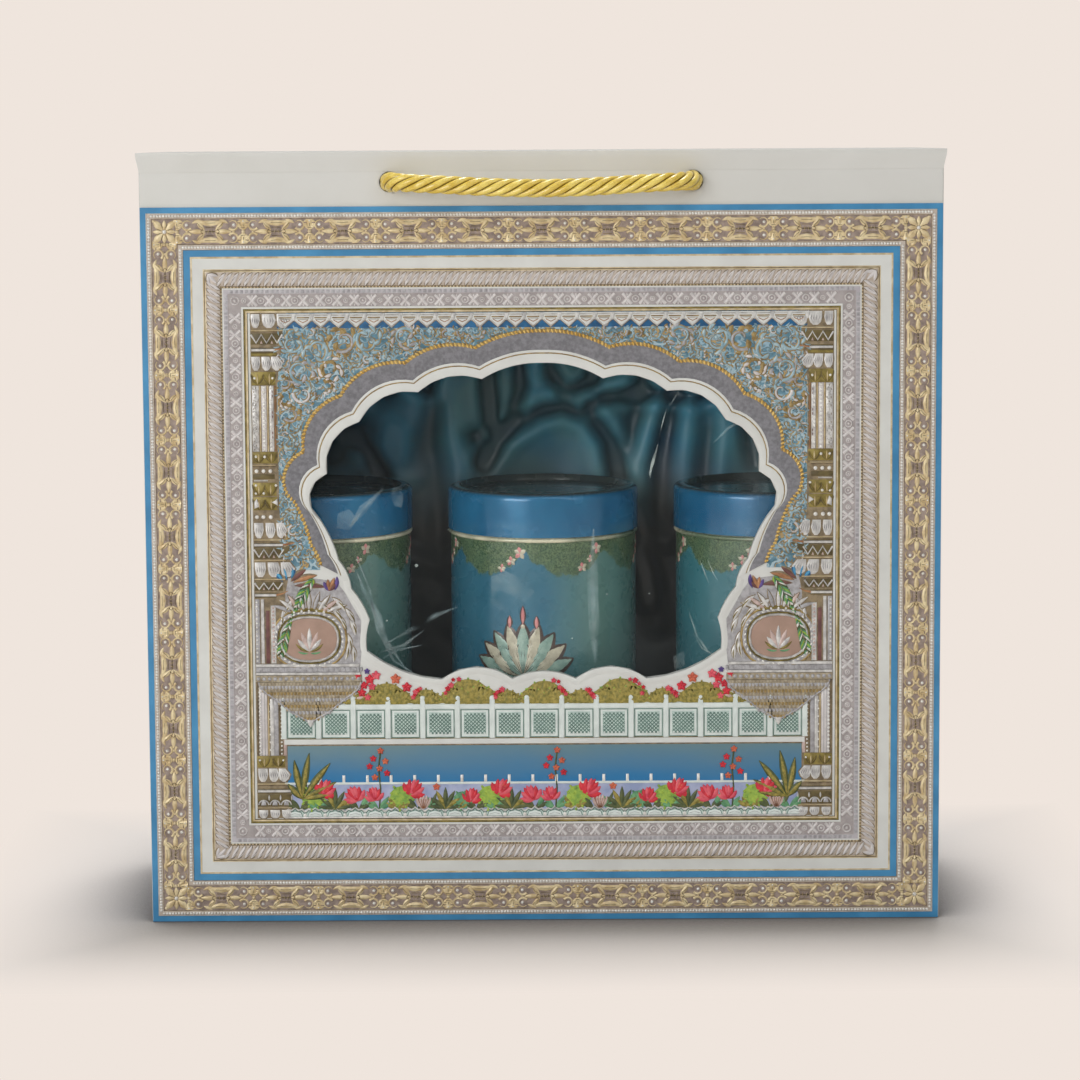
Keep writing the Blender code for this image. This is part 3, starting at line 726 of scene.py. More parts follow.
def border_cell(put, half):
    """One cell of the scrolled border, from separator to separator, v across the band."""
    eye = half - 3.8
    for side in (-1, 1):
        gold.ridge(put, [(-4.6, side * 3.9), (-2.2, side * 3.25), (0, side * 3.05),
                         (2.2, side * 3.25), (4.6, side * 3.9)], 2.5, 0.55, swelling)
        brown.ridge(put, [(-2.0, side * 3.3), (0, side * 3.15), (2.0, side * 3.3)], 0.34, 0.66)
        brown.ridge(put, [(-1.7, side * 1.55), (1.7, side * 1.55)], 0.4, 0.3)
        for end in (-1, 1):
            def corner(u, v, end=end, side=side):
                return put(end * u, side * v)
            gold.ridge(corner, circle(eye, 2.35, 1.75, 12, -2.5, 4.9), 1.15, 0.62, tailed)
            pearl.bead(put, end * (eye + 0.25), side * 2.45, 0.62, 0.62, 8)
            gold.leaf(corner, 1.9, 0.45, 0.72, 5.0, 2.0, 0.58, 0.5)
            gold.leaf(corner, 3.4, 4.4, -0.25, 3.6, 1.4, 0.5, -0.3)
            gold.leaf(corner, half - 0.2, 0.5, 2.0, 3.0, 1.5, 0.55, 0.9)
            gold.leaf(corner, half - 0.1, 4.5, -2.5, 2.3, 1.2, 0.45, -0.6)
            gold.leaf(corner, half - 0.6, 2.5, 2.9, 1.6, 1.0, 0.45, 0.2)
            brown.ridge(corner, [(2.7, 1.3), (3.9, 2.2), (4.7, 3.2)], 0.3, 0.72)
    for end in (-1, 1):
        gold.leaf(put, end * 1.8, 0, 0 if end > 0 else pi, eye - 2.4, 2.1, 0.62)
        brown.ridge(put, [(end * 2.6, -1.0), (end * 3.5, 0), (end * 2.6, 1.0)], 0.36, 0.78)
        pale.bead(put, end * (eye + 0.2), 0, 0.55, 0.5, 6)
    dark_olive.ridge(put, [(-2.2, 0), (2.2, 0)], 1.5, 0.42, swelling)
    pale.ridge(put, [(-1.5, 0.1), (1.5, 0.1)], 0.42, 0.62, pointed)
    pale.ridge(put, [(-0.9, 0.75), (-0.5, -0.7)], 0.3, 0.6)
    pale.ridge(put, [(0.9, 0.75), (0.5, -0.7)], 0.3, 0.6)


def border_separator(put):
    """The spindle between two cells."""
    gold.ridge(put, [(0, v / 2) for v in range(-9, 10, 2)], 3.2, 0.62, waisted)
    pale.bead(put, 0, 0, 0.8, 0.85, 8)
    for side in (-1, 1):
        brown.ridge(put, [(-0.85, side * 1.4), (0.85, side * 1.4)], 0.3, 0.64)
        brown.ridge(put, [(0, side * 2.0), (0, side * 3.0)], 0.3, 0.7)
        pearl.bead(put, 0, side * 3.9, 0.42, 0.8, 6)


def border_corner(put):
    """The square block at a corner of the border."""
    for k in range(4):
        angle = pi / 4 + k * pi / 2
        gold.leaf(put, 0.7 * cos(angle), 0.7 * sin(angle), angle, 5.2, 2.9, 0.6)
        angle += pi / 4
        gold.leaf(put, 0.6 * cos(angle), 0.6 * sin(angle), angle, 3.7, 2.0, 0.5)
    for inner, outer in zip(circle(0, 0, 1.5, 8, pi / 8), circle(0, 0, 3.1, 8, pi / 8)):
        brown.ridge(put, [inner, outer], 0.34, 0.5)
    pearl.bead(put, 0, 0, 0.8, 0.85, 10)
    for x, z in ((-3.9, -3.9), (3.9, -3.9), (3.9, 3.9), (-3.9, 3.9)):
        pale.bead(put, x, z, 0.7, 0.5, 8)


# Insets of the frame's parts, each along its middle
BORDER_INSET = 9.05
BEAD_INSETS = (3.2, 14.9)
MOULDING_INSET = 26.8
SMALL_BEAD_INSET = 29.9
DENTIL_INSET = 31.5
LATTICE_INSET = 34.9
BORDER_PITCH = 24.6
LATTICE_PITCH = 6.3
BEAD_PITCH = 1.14
# Heights of the sheet's rings that carry ornament
BEAD_RING_UP = 0.3
LATTICE_RING_UP = 0.2
MOULDING_UP = 0.66


def frame_corners(inset):
    """Each corner at that inset, with the way to the sheet's outside as signs."""
    return [(sx * (HALF - inset), (LOW + inset, HIGH - inset)[sz > 0], sx, sz)
            for sx in (-1, 1) for sz in (-1, 1)]


def make_border():
    for x, z, turn, stretch, k in along_frame(BORDER_INSET, BORDER_PITCH, 4.75):
        put = placer(x, z, turn, stretch=stretch)
        border_cell(put, BORDER_PITCH / 2)
        border_separator(placer(*put(BORDER_PITCH / 2, 0), turn))
        if k == 0:
            border_separator(placer(*put(-BORDER_PITCH / 2, 0), turn))
    for x, z, *_ in frame_corners(BORDER_INSET):
        border_corner(placer(x, z))
    for inset in BEAD_INSETS:
        for x, z, *_ in along_frame(inset, BEAD_PITCH, 0.5):
            pearl.bead(placer(x, z), 0, 0, 0.53, 0.5, 7, base=BEAD_RING_UP)


def make_moulding():
    """The rounded moulding of slanted leaves, the dark beads, the dentils and the lattice."""
    for x, z, turn, *_ in along_frame(MOULDING_INSET, 2.5, 1.6):
        put = placer(x, z, turn)
        brown.leaf(put, -2.0, -2.55, 0.9, 6.3, 2.5, 0.16, 0.35, 7, base=MOULDING_UP)
        white.leaf(put, -1.85, -2.3, 0.9, 5.8, 1.85, 0.46, 0.35, 7, base=MOULDING_UP)
        brown.ridge(put, [(-0.9, -1.25), (0.15, 0.1), (0.95, 1.3)], 0.3, 0.2, pointed, base=1.0)
    for x, z, sx, sz in frame_corners(MOULDING_INSET):
        put = placer(x, z)
        inward = atan2(-sz, -sx)
        for swing, reach in ((-0.62, 4.4), (0.62, 4.4), (0.0, 5.6)):
            brown.leaf(put, sx * 2.0, sz * 2.0, inward + swing, reach, 2.3, 0.16,
                       base=MOULDING_UP)
            white.leaf(put, sx * 1.9, sz * 1.9, inward + swing, reach * 0.9, 1.6, 0.46,
                       base=MOULDING_UP)
    for x, z, *_ in along_frame(SMALL_BEAD_INSET, 1.26, 0.5):
        pale.bead(placer(x, z), 0, 0, 0.36, 0.34, 6, base=BEAD_RING_UP)
    for x, z, turn, *_ in along_frame(DENTIL_INSET, 1.9, 1.2):
        flute.slab(placer(x, z, turn), -0.6, -0.62, 0.6, 0.62, 0.14, base=BEAD_RING_UP)
    for x, z, turn, stretch, k in along_frame(LATTICE_INSET, LATTICE_PITCH, 3.4):
        put = placer(x, z, turn)
        for tilt in (-1, 1):
            lilac.ridge(put, [(-1.75, -1.95 * tilt), (-0.5, -0.7 * tilt), (0.5, 0.7 * tilt),
                              (1.75, 1.95 * tilt)], 1.3, 0.5, base=LATTICE_RING_UP)
            lilac.leaf(put, 0, 1.1 * tilt, pi / 2 * tilt, 1.15, 0.7, 0.3, base=LATTICE_RING_UP)
        rosette(placer(*put(LATTICE_PITCH / 2 * stretch, 0), turn), 1.2 if k % 2 else 0.8,
                (0.55, 0.36), (0.48, 0.42, 6))
    for x, z, *_ in frame_corners(LATTICE_INSET):
        rosette(placer(x, z), 1.5, (0.6, 0.4), (0.6, 0.5, 8))


def rosette(put, radius, rim, bead):
    """A bead in a small round rim, on the lattice's ring."""
    lilac.ridge(put, circle(0, 0, radius, 12), *rim, closed=True, base=LATTICE_RING_UP)
    lilac.bead(put, 0, 0, *bead, base=LATTICE_RING_UP)


make_border()
make_moulding()


# The picture inside the frame

SPANDREL_HALF = 99.3
FIELD_HALF = 98.7
PICTURE_TOP = HIGH - PICTURE_INSET
PICTURE_BOTTOM = LOW + PICTURE_INSET
ARCH_WIDTH = 12.8
SKY_UP = 0.1
# Across the arch from the cut: where each part ends, as a share of the arch's width
ARCH_SHARES = (0.27, 0.305, 0.38, 0.89, 1.0)


def make_arch():
    edges = [arch_line(ARCH_WIDTH * share) for share in (0.0, *ARCH_SHARES)]
    profiles = (
        (cream, ((0, 0.22), (0.08, 0.32), (0.9, 0.32), (1, 0.2))),
        (edging, ((0, 0.3), (0.5, 0.42), (1, 0.3))),
        (cream, ((0, 0.26), (0.3, 0.36), (0.6, 0.36), (0.8, 0.28), (1, 0.25))),
        (stone, ((0, 0.2), (0.04, 0.3), (0.96, 0.42), (1, 0.4))),
        (edging, ((0, 0.42), (0.25, 0.5), (0.8, 0.46), (1, 0.2))),
    )
    for near, far, (relief, profile) in zip(edges, edges[1:], profiles):
        relief.strip(near, far, profile)
    for x, z, turn in evenly(arch_line(ARCH_WIDTH * (ARCH_SHARES[-2] + 1.0) / 2), 1.5):
        bright.ridge(placer(x, z, turn + 0.5), [(0, -0.8), (0, 0.0), (0, 0.8)], 1.1, 0.55,
                     swelling, base=0.38)


def below_arch():
    """The rolled edge round the lower part of the window."""
    springing = arch_line(0.0)[-1]
    start = min(range(len(WINDOW)), key=lambda i: dist(WINDOW[i], springing))
    end = min(range(len(WINDOW)), key=lambda i: dist(WINDOW[i], (-springing[0], springing[1])))
    lower = WINDOW[start:end + 1]
    outward = []
    for i, (x, z) in enumerate(lower):
        before = lower[max(i - 1, 0)]
        after = lower[min(i + 1, len(lower) - 1)]
        dx = after[0] - before[0]
        dz = after[1] - before[1]
        size = hypot(dx, dz) or 1
        outward.append((x - dz / size * 2.6, z + dx / size * 2.6))
    cream.strip(lower, outward, ((0, 0.22), (0.1, 0.32), (0.6, 0.3), (1, 0.02)))


def make_spandrels():
    outer = arch_line(ARCH_WIDTH * 0.97)
    left = outer[0]
    right = outer[-1]
    outline = [(-SPANDREL_HALF, left[1] - 2.0), (left[0], left[1] - 2.0), *outer,
               (right[0], right[1] - 2.0), (SPANDREL_HALF, right[1] - 2.0),
               (SPANDREL_HALF, PICTURE_TOP), (-SPANDREL_HALF, PICTURE_TOP)]
    sky.plate(outline, SKY_UP)


make_arch()
below_arch()
make_spandrels()


def inside(point, polygon):
    x, z = point
    found = False
    for (ax, az), (bx, bz) in zip(polygon, polygon[1:] + polygon[:1]):
        if (az > z) != (bz > z) and x < (bx - ax) * (z - az) / (bz - az) + ax:
            found = not found
    return found


def off_line(point, line):
    x, z = point
    best = 1e9
    for (ax, az), (bx, bz) in zip(line, line[1:]):
        dx = bx - ax
        dz = bz - az
        t = max(0.0, min(1.0, ((x - ax) * dx + (z - az) * dz) / (dx * dx + dz * dz + 1e-12)))
        best = min(best, hypot(x - ax - dx * t, z - az - dz * t))
    return best


def spandrel_region():
    """The right spandrel's outline and the arch's own line under it."""
    arch = [p for p in arch_line(ARCH_WIDTH, 5) if p[0] >= -1]
    top = PICTURE_TOP - 5.0
    region = arch + [(SPANDREL_HALF - 0.4, arch[-1][1]), (SPANDREL_HALF - 0.4, top),
                     (arch[0][0], top)]
    return region, arch


def pack_scrolls(region, arch):
    """Circles that fill the right spandrel, largest first: (x, z, radius)."""
    rng = random.Random(11)
    edge = region + region[:1]
    found = []
    for radius, margin, tries in ((4.9, 3.4, 1500), (4.1, 3.2, 1800),
                                  (3.2, 2.6, 2600), (2.5, 1.6, 3600), (1.9, 0.8, 4200),
                                  (1.45, 0.5, 4200)):
        for _ in range(tries):
            point = (rng.uniform(4, SPANDREL_HALF), rng.uniform(136, PICTURE_TOP - 5))
            if any(dist(point, (x, z)) < (r + radius) * 0.94 for x, z, r in found):
                continue
            if not inside(point, region) or off_line(point, edge) < radius * 0.97:
                continue
            if off_line(point, arch) < radius + margin:
                continue
            found.append((*point, radius))
    return found


def make_scrolls():
    rng = random.Random(5)
    region, arch = spandrel_region()
    circles = pack_scrolls(region, arch)
    tones = (scroll, flute, scroll, scroll, edging, scroll, lilac)
    for index, (x, z, radius) in enumerate(circles):
        way = rng.choice((-1, 1))
        start = rng.uniform(0, tau)
        turns = 0.85 if radius > 3 else 0.72 if radius > 1.8 else 0.6
        steps = 26 if radius > 4 else 16 if radius > 2 else 9
        spiral = []
        for k in range(steps):
            t = k / (steps - 1)
            reach = radius * (0.80 * (1 - t) ** 0.7 + 0.13)
            angle = start + way * t * turns * tau
            spiral.append((reach * cos(angle), reach * sin(angle)))
        thick = 0.7 + radius * 0.19
        tone = tones[index % len(tones)] if radius < 5 else scroll
        leaf_tone = tones[(index * 3 + 1) % len(tones)]
        for mirror in (-1, 1):
            put = placer(mirror * x, z, mirror=mirror)
            edging.ridge(put, spiral, thick + 0.9, 0.30, tailed, base=SKY_UP)
            tone.ridge(put, spiral, thick, 0.60, tailed, base=SKY_UP)
            if radius > 1.8:
                scroll.bead(put, *spiral[-1], 0.15 * radius + 0.1, 0.66, 7, base=SKY_UP)
            for k in range(9 if radius > 4 else 6 if radius > 2.2 else 3):
                angle = start + way * (0.3 + k * 0.74)
                at = radius * (0.42 if k % 3 == 1 else 0.84)
                u = at * cos(angle)
                v = at * sin(angle)
                out = angle + way * (0.75 if k % 3 == 1 else 0.95)
                edging.leaf(put, u, v, out, radius * 0.78, thick + 0.8, 0.28, way * 1.1, 6,
                            base=SKY_UP)
                leaf_tone.leaf(put, u, v, out, radius * 0.72, thick + 0.1, 0.52, way * 1.1, 6,
                               base=SKY_UP)
    fill_with_leaves(region, arch, circles)


# Tones of the small leaves, each up to its share of the draws
FILL_TONES = ((0.6, scroll), (0.72, lilac), (0.95, edging), (1.0, pale))


def fill_with_leaves(region, arch, circles):
    """Small leaves on what the scrolls leave free, finest beside the arch."""
    rng = random.Random(8)
    pitch = 1.28
    x = 1.0
    while x < SPANDREL_HALF:
        z = 134.0
        while z < PICTURE_TOP - 5:
            point = (x + rng.uniform(-0.4, 0.4), z + rng.uniform(-0.4, 0.4))
            z += pitch
            if not inside(point, region):
                continue
            if any(dist(point, (cx, cz)) < r * 1.02 for cx, cz, r in circles):
                continue
            near = off_line(point, arch)
            if near < 0.7:
                continue
            angle = rng.uniform(0, tau)
            length = rng.uniform(1.2, 1.9) if near < 6 else rng.uniform(1.8, 2.8)
            draw = rng.random()
            tone = next(tone for share, tone in FILL_TONES if draw < share)
            for mirror in (-1, 1):
                put = placer(mirror * point[0], point[1], mirror=mirror)
                tone.leaf(put, 0, 0, angle, length, 0.72, 0.36, rng.choice((-0.8, 0.8)), 3,
                          base=SKY_UP)
        x += pitch


def bar_across(relief, half, low, high, up):
    """A bar over the picture's width."""
    relief.slab(plain, -half, low, half, high, up)


def side_by_side(half, count, z):
    """Places next to each other over the picture's width."""
    return [placer((2 * k + 1 - count) * half / count, z) for k in range(count)]


def symmetric(half):
    """A line from its right half, which starts in the middle."""
    return [(-u, v) for u, v in reversed(half) if u] + half


TONGUE_COUNT = 30
TONGUE_BASE = 0.12
SCALLOP_COUNT = 26


def make_valance():
    """The row of pointed tongues along the top of the picture, and the scallops at its foot."""
    bar_across(deep, SPANDREL_HALF, PICTURE_TOP - 5.8, PICTURE_TOP - 0.1, 0.16)
    pitch = 2 * SPANDREL_HALF / TONGUE_COUNT
    half = pitch / 2 - 0.3
    tongue = [(-half, -0.2), (half, -0.2), (half, -2.9), (half * 0.55, -4.1), (0, -5.6),
              (-half * 0.55, -4.1), (-half, -2.9)]
    lines = (
        (silver, [(0, -5.2), (half * 0.5, -4.0), (half - 0.3, -2.8)], 0.7, 0.6),
        (silver, [(half - 0.5, -0.85)], 0.75, 0.65),
        (edging, [(half - 0.7, -1.75)], 0.7, 0.6),
        (brown, [(half - 1.0, -2.35)], 0.3, 0.58),
        (rust, [(0, -3.6), (half - 1.2, -2.7)], 0.45, 0.6),
    )
    for put in side_by_side(SPANDREL_HALF, TONGUE_COUNT, PICTURE_TOP):
        brown.lump(put, [(u * 1.08, v * 1.06) for u, v in tongue], 0.2, 0.1, 1.0, TONGUE_BASE)
        cream.lump(put, tongue, 0.42, 0.2, 1.0, TONGUE_BASE)
        for tone, right, width, up in lines:
            tone.ridge(put, symmetric(right), width, up, base=TONGUE_BASE)
        silver.lump(placer(*put(pitch / 2, 0)), [(-0.95, -0.2), (0.95, -0.2), (0.5, -2.2),
                                                 (0, -3.2), (-0.5, -2.2)], 0.62, 0.3, 1.0,
                    TONGUE_BASE)
    bar_across(silver, FIELD_HALF, PICTURE_BOTTOM + 0.1, PICTURE_BOTTOM + 0.8, 0.35)
    bar_across(mint, FIELD_HALF, PICTURE_BOTTOM + 0.8, PICTURE_BOTTOM + 3.4, 0.12)
    wave = symmetric([(0, 4.0), (1.3, 2.9), (2.6, 3.4), (3.7, 2.3)])
    for put in side_by_side(FIELD_HALF, SCALLOP_COUNT, PICTURE_BOTTOM):
        mint_dark.lump(put, [(-3.0, 0.8), (3.0, 0.8), (2.4, 2.5), (0, 3.2), (-2.4, 2.5)], 0.24,
                       0.1, 1.0)
        pale_mint.lump(put, [(-2.7, 0.9), (2.7, 0.9), (2.2, 2.3), (0, 2.9), (-2.2, 2.3)], 0.4)
        mint_dark.ridge(put, wave, 1.2, 0.34)
        silver.ridge(put, symmetric([(0, 4.3), (1.3, 3.2), (2.6, 3.7), (3.7, 2.6)]), 0.95,
                     0.46)
        flute.ridge(put, symmetric([(0, 2.1), (1.9, 1.5)]), 0.4, 0.5)
        pearl.bead(put, -FIELD_HALF / SCALLOP_COUNT, 1.4, 0.8, 0.5, 7)


make_scrolls()
make_valance()


# The two pilasters

def grown(outline, by):
    """The same outline, larger by this much all round."""
    mid_u = sum(u for u, _ in outline) / len(outline)
    mid_v = sum(v for _, v in outline) / len(outline)
    wider = []
    for u, v in outline:
        reach = hypot(u - mid_u, v - mid_v) or 1.0
        wider.append((u + (u - mid_u) / reach * by, v + (v - mid_v) / reach * by))
    return wider


def petals(put, low, high, spans, bulge=0.0):
    """A capital: rounded petals that hang from its top, the inner ones pushed outwards."""
    tall = high - low
    for k, (a, b) in enumerate(spans):
        push = bulge * ((k + 1) / len(spans)) ** 2
        wide = b - a
        mid = (a + b) / 2 + push * 0.4
        shape = [(a, high), (b, high), (b + push, low + tall * 0.55),
                 (b + push * 0.8 - wide * 0.12, low + tall * 0.2), (mid + wide * 0.2, low),
                 (mid - wide * 0.2, low), (a + wide * 0.1, low + tall * 0.2),
                 (a, low + tall * 0.55)]
        brown.lump(put, grown(shape, 0.5), 0.26, 0.1, 1.0)
        silver.lump(put, shape, 0.52, 0.3, 1.1)
        for share, tone, width in ((0.2, flute, 0.5), (0.42, stone, 0.34), (0.62, flute, 0.7),
                                   (0.82, stone, 0.4)):
            tone.ridge(put, [(a + wide * share, high - 0.4),
                             (a + (wide + push) * share, low + tall * 0.5),
                             (mid + (share - 0.5) * wide * 0.5, low + 0.5)], width, 0.74,
                       swelling)


def zigzag(put, low, high, start, end, count):
    """White chevrons on a dark band, with a small triangle under each."""
    dark_olive.slab(put, start, low, end, high, 0.24)
    width = (end - start) / count
    line = [(start + k * width / 2, low + 0.55 if k % 2 else high - 0.45)
            for k in range(2 * count + 1)]
    silver.ridge(put, line, 0.85, 0.36, base=0.2)
    for k in range(1, count):
        mid = start + k * width
        rose.lump(put, [(mid - 0.5, low + 0.3), (mid + 0.5, low + 0.3), (mid, low + 1.5)], 0.5,
                  0.3, 1.0)


def bead_row(put, z, places, radius=0.62):
    for u in places:
        brown.bead(put, u, z, radius + 0.38, 0.24, 8)
        pearl.bead(put, u, z, radius, 0.62, 8)


def rows_between(low, high, pitch):
    count = int((high - low) / pitch)
    return [low + (k + 0.5) / count * (high - low) for k in range(count)]


def uprights(put, low, high, slabs, lines):
    """A shaft's slabs from side to side, and the thin lines between them."""
    for tone, start, end, up in slabs:
        tone.slab(put, start, low, end, high, up)
    for tone, u, width in lines:
        tone.ridge(put, [(u, low), (u, high)], width, 0.55)


def upper_shaft(put, low, high):
    uprights(put, low, high,
             ((silver, 0.5, 3.1, 0.36), (lilac, 4.0, 5.9, 0.30), (silver, 6.9, 8.6, 0.36)),
             ((gold, 3.55, 0.5), (gold, 6.4, 0.5), (rust, 9.15, 0.45)))
    for k, z in enumerate(rows_between(low, high, 1.5)):
        sway = 0.4 * (-1) ** k
        brown.leaf(put, 1.3 - sway, z - 0.7, 1.2, 1.3, 0.4, 0.42, 0.4, 4, base=0.1)
        silver.ridge(put, circle(1.75 + sway, z, 0.62, 6, k * 1.3, 3.8), 0.62, 0.6, base=0.1)
        brown.bead(put, 4.95, z, 0.82, 0.16, 7, base=0.2)
        pearl.bead(put, 4.95, z, 0.66, 0.5, 7, base=0.2)
        if k % 5 < 3:
            pearl.leaf(put, 7.2, z - 0.5, 1.1, 1.5, 1.0, 0.4, 0.5, 4, base=0.3)
        else:
            maroon.leaf(put, 8.1, z - 0.6, 1.5, 1.3, 0.45, 0.25, 0.3, 4, base=0.28)


def lower_shaft(put, low, high):
    uprights(put, low, high,
             ((lilac, 1.4, 4.5, 0.36), (silver, 5.5, 7.0, 0.40), (flute, 7.0, 8.7, 0.32),
              (rose, 10.5, 11.7, 0.34)),
             ((brown, 0.9, 0.4), (gold, 4.95, 0.55), (brown, 9.0, 0.4)))
    for u in (2.4, 3.5):
        stone.ridge(put, [(u, low), (u, high)], 0.35, 0.42)
    for k, z in enumerate(rows_between(low, high, 1.45)):
        pearl.bead(put, 1.7, z, 0.52, 0.5, 7, base=0.2)
        pearl.bead(put, 9.8, z, 0.42, 0.4, 6, base=0.2)
        if k % 2:
            pearl.bead(put, 5.6, z, 0.42, 0.4, 6, base=0.3)


def slab_and_spike(put, z, end, spike):
    """A white slab whose inner end turns up to a point."""
    dark_olive.slab(put, 0.4, z - 1.0, end, z + 0.95, 0.2)
    silver.slab(put, 0.5, z - 0.5, end, z + 0.5, 0.62)
    rust.ridge(put, [(end - 0.4, z), (end + spike * 0.5, z + 0.5), (end + spike, z + 1.6)],
               1.0, 0.5, tailed)


def gold_line(put, z, end, width=0.7):
    brown.ridge(put, [(0.4, z - 0.45), (end, z - 0.45)], 0.4, 0.4)
    pale.ridge(put, [(0.4, z), (end, z)], width, 0.6)


def leaf_collar(put, low, high, end, count):
    """A green-gold collar of small leaves."""
    olive.slab(put, 0.4, low, end, high, 0.22)
    width = (end - 0.4) / count
    tall = high - low
    for k in range(count):
        mid = 0.4 + (k + 0.5) * width
        for lean in (-1, 1):
            dark_olive.leaf(put, mid, low + 0.1, pi / 2 - lean * 0.75, tall, 1.3, 0.4,
                            lean * 0.5)
            olive.leaf(put, mid, low + 0.2, pi / 2 - lean * 0.7, tall * 0.9, 0.85, 0.6,
                       lean * 0.5)
        gold.leaf(put, mid, low + 0.3, pi / 2, tall * 0.8, 0.7, 0.66)


PILASTER_EDGE = 109.4


def make_pilaster(side):
    """u runs from the frame inwards and z is the height on the sheet."""
    put = placer(side * PILASTER_EDGE, 0, mirror=-side)
    ground = [(0.2, 40.2), (13.4, 40.2), (13.4, 51), (11.9, 54), (11.9, 126), (12.9, 131),
              (13.9, 139), (10.8, 147), (10.2, 158), (9.9, 205), (11.5, 216), (12.5, 226),
              (14.0, 232.2), (0.2, 232.2)]
    brown.plate([put(u, v) for u, v in ground], 0.13)
    # Upper capital
    petals(put, 226.9, 232.1, ((0.5, 3.7), (4.7, 9.2), (10.2, 13.4)), 1.4)
    gold_line(put, 225.9, 12.4)
    zigzag(put, 220.7, 224.9, 0.4, 12.2, 3)
    slab_and_spike(put, 218.6, 9.4, 6.2)
    olive.slab(put, 0.4, 216.4, 10.0, 217.5, 0.5)
    petals(put, 210.9, 216.1, ((0.5, 3.6), (4.3, 7.2), (7.9, 10.4)), 2.0)
    leaf_collar(put, 205.4, 210.4, 9.4, 2)
    bead_row(put, 208.0, (1.5, 8.4))
    upper_shaft(put, 180.4, 205.2)
    # Collars down to the middle capital
    leaf_collar(put, 175.9, 180.2, 9.8, 2)
    bead_row(put, 178.4, (1.6, 4.9))
    gold_line(put, 175.2, 9.0, 0.5)
    bead_row(put, 173.0, (1.8, 4.4, 7.0), 0.8)
    dark_olive.slab(put, 0.4, 170.0, 8.6, 171.8, 0.3)
    silver.ridge(put, [(0.8, 169.4), (6.0, 169.4)], 0.6, 0.5)
    leaf_collar(put, 163.6, 168.6, 9.2, 2)
    bead_row(put, 167.6, (1.5, 9.0), 0.55)
    bead_row(put, 164.6, (1.5, 4.4), 0.6)
    leaf_collar(put, 158.2, 163.2, 9.4, 2)
    silver.lump(put, [(0.8, 158.8), (2.8, 159.6), (1.8, 162.6), (0.8, 161.5)], 0.7)
    silver.lump(put, [(7.4, 161.2), (9.6, 159.9), (9.6, 162.6)], 0.7)
    bead_row(put, 155.6, (1.7, 4.1, 6.9), 0.85)
    petals(put, 147.6, 153.4, ((0.6, 4.0), (4.9, 8.0), (9.0, 11.6)), 1.4)
    gold_line(put, 146.9, 10.6)
    slab_and_spike(put, 145.0, 11.4, 6.6)
    zigzag(put, 139.8, 143.8, 0.4, 11.6, 3)
    dark_olive.lump(put, [(9.6, 140.4), (12.6, 142.0), (16.6, 145.0), (11.6, 144.2)], 0.4)
    gold_line(put, 139.1, 12.2)
    petals(put, 132.8, 138.4, ((0.6, 4.6), (5.5, 9.4), (10.4, 13.8)), 2.0)
    gold_line(put, 131.9, 12.0)
    zigzag(put, 127.6, 131.0, 0.4, 11.0, 3)
    slab_and_spike(put, 125.9, 8.6, 4.4)
    # The part beside the niche
    flute.slab(put, 0.5, 99.8, 2.2, 124.4, 0.4)
    silver.slab(put, 2.6, 99.8, 3.9, 124.4, 0.5)
    maroon.slab(put, 4.4, 99.8, 5.9, 120.0, 0.2)
    silver.slab(put, 6.3, 99.8, 8.3, 122.0, 0.5)
    for k in range(15):
        pearl.bead(put, 1.1, 100.8 + k * 1.6, 0.45, 0.5, 6, base=0.2)
        rose.bead(put, 7.3, 100.8 + k * 1.45, 0.5, 0.4, 6, base=0.35)
    # Foot
    lower_shaft(put, 64.4, 92.4)
    leaf_collar(put, 59.8, 64.2, 11.0, 2)
    bead_row(put, 62.6, (1.4, 10.2), 0.5)
    petals(put, 54.3, 59.4, ((0.7, 4.2), (4.8, 7.9), (8.5, 11.0)), 1.8)
    gold_line(put, 53.4, 11.6)
    slab_and_spike(put, 50.7, 13.0, 1.0)
    dark_olive.slab(put, 0.4, 44.8, 13.4, 49.5, 0.22)
    for k in range(3):
        mid = 2.6 + k * 4.3
        silver.ridge(put, circle(mid, 45.2, 1.9, 9, 0.1, 2.94), 0.7, 0.5)
        flute.lump(put, [(mid - 1.0, 45.2), (mid + 1.0, 45.2), (mid + 0.8, 46.5), (mid, 47.0),
                         (mid - 0.8, 46.5)], 0.5)
        silver.leaf(put, mid + 2.1, 49.2, -pi / 2, 2.2, 0.9, 0.5)
    gold_line(put, 44.2, 13.2, 0.5)
    petals(put, 40.2, 43.4, ((0.8, 4.2), (5.1, 8.6), (9.5, 12.6)), 0.6)


for side in (-1, 1):
    make_pilaster(side)


# The niches beside the window: a bud on a bracket, a plain ornament of its own design

NICHE_X = 88.6
OVAL_MIDDLE = 109.0
CROWN_FOOT = 119.0
BUD_FOOT = 104.4
# Leaves that fill the corners round the oval: foot, direction and length
CORNER_LEAVES = (
    (13.6, 101.0, 1.2, 7.5), (15.4, 104.4, 1.5, 6.5), (16.6, 100.2, 1.4, 6.0),
    (13.8, 112.0, 1.8, 6.6), (12.2, 115.8, 2.0, 7.0), (8.6, 119.0, 2.3, 7.6),
    (17.4, 110.4, 1.7, 6.4), (17.0, 115.0, 1.9, 6.6), (13.6, 119.6, 2.1, 7.0),
    (-11.4, 101.0, 1.7, 6.0), (-11.0, 113.6, 1.2, 7.0), (-9.6, 118.4, 0.9, 7.4),
)
# The bracket's height and half width, from its top to its tip
BRACKET = ((92.6, 19.4), (90.4, 18.6), (88.3, 16.4), (86.6, 13.8), (84.0, 10.6), (81.2, 7.2),
           (79.2, 3.6), (77.4, 0.4))
SCALE_WIDTH = 1.3
SCALE_RISE = 1.22
BRACKET_FACE = 0.6


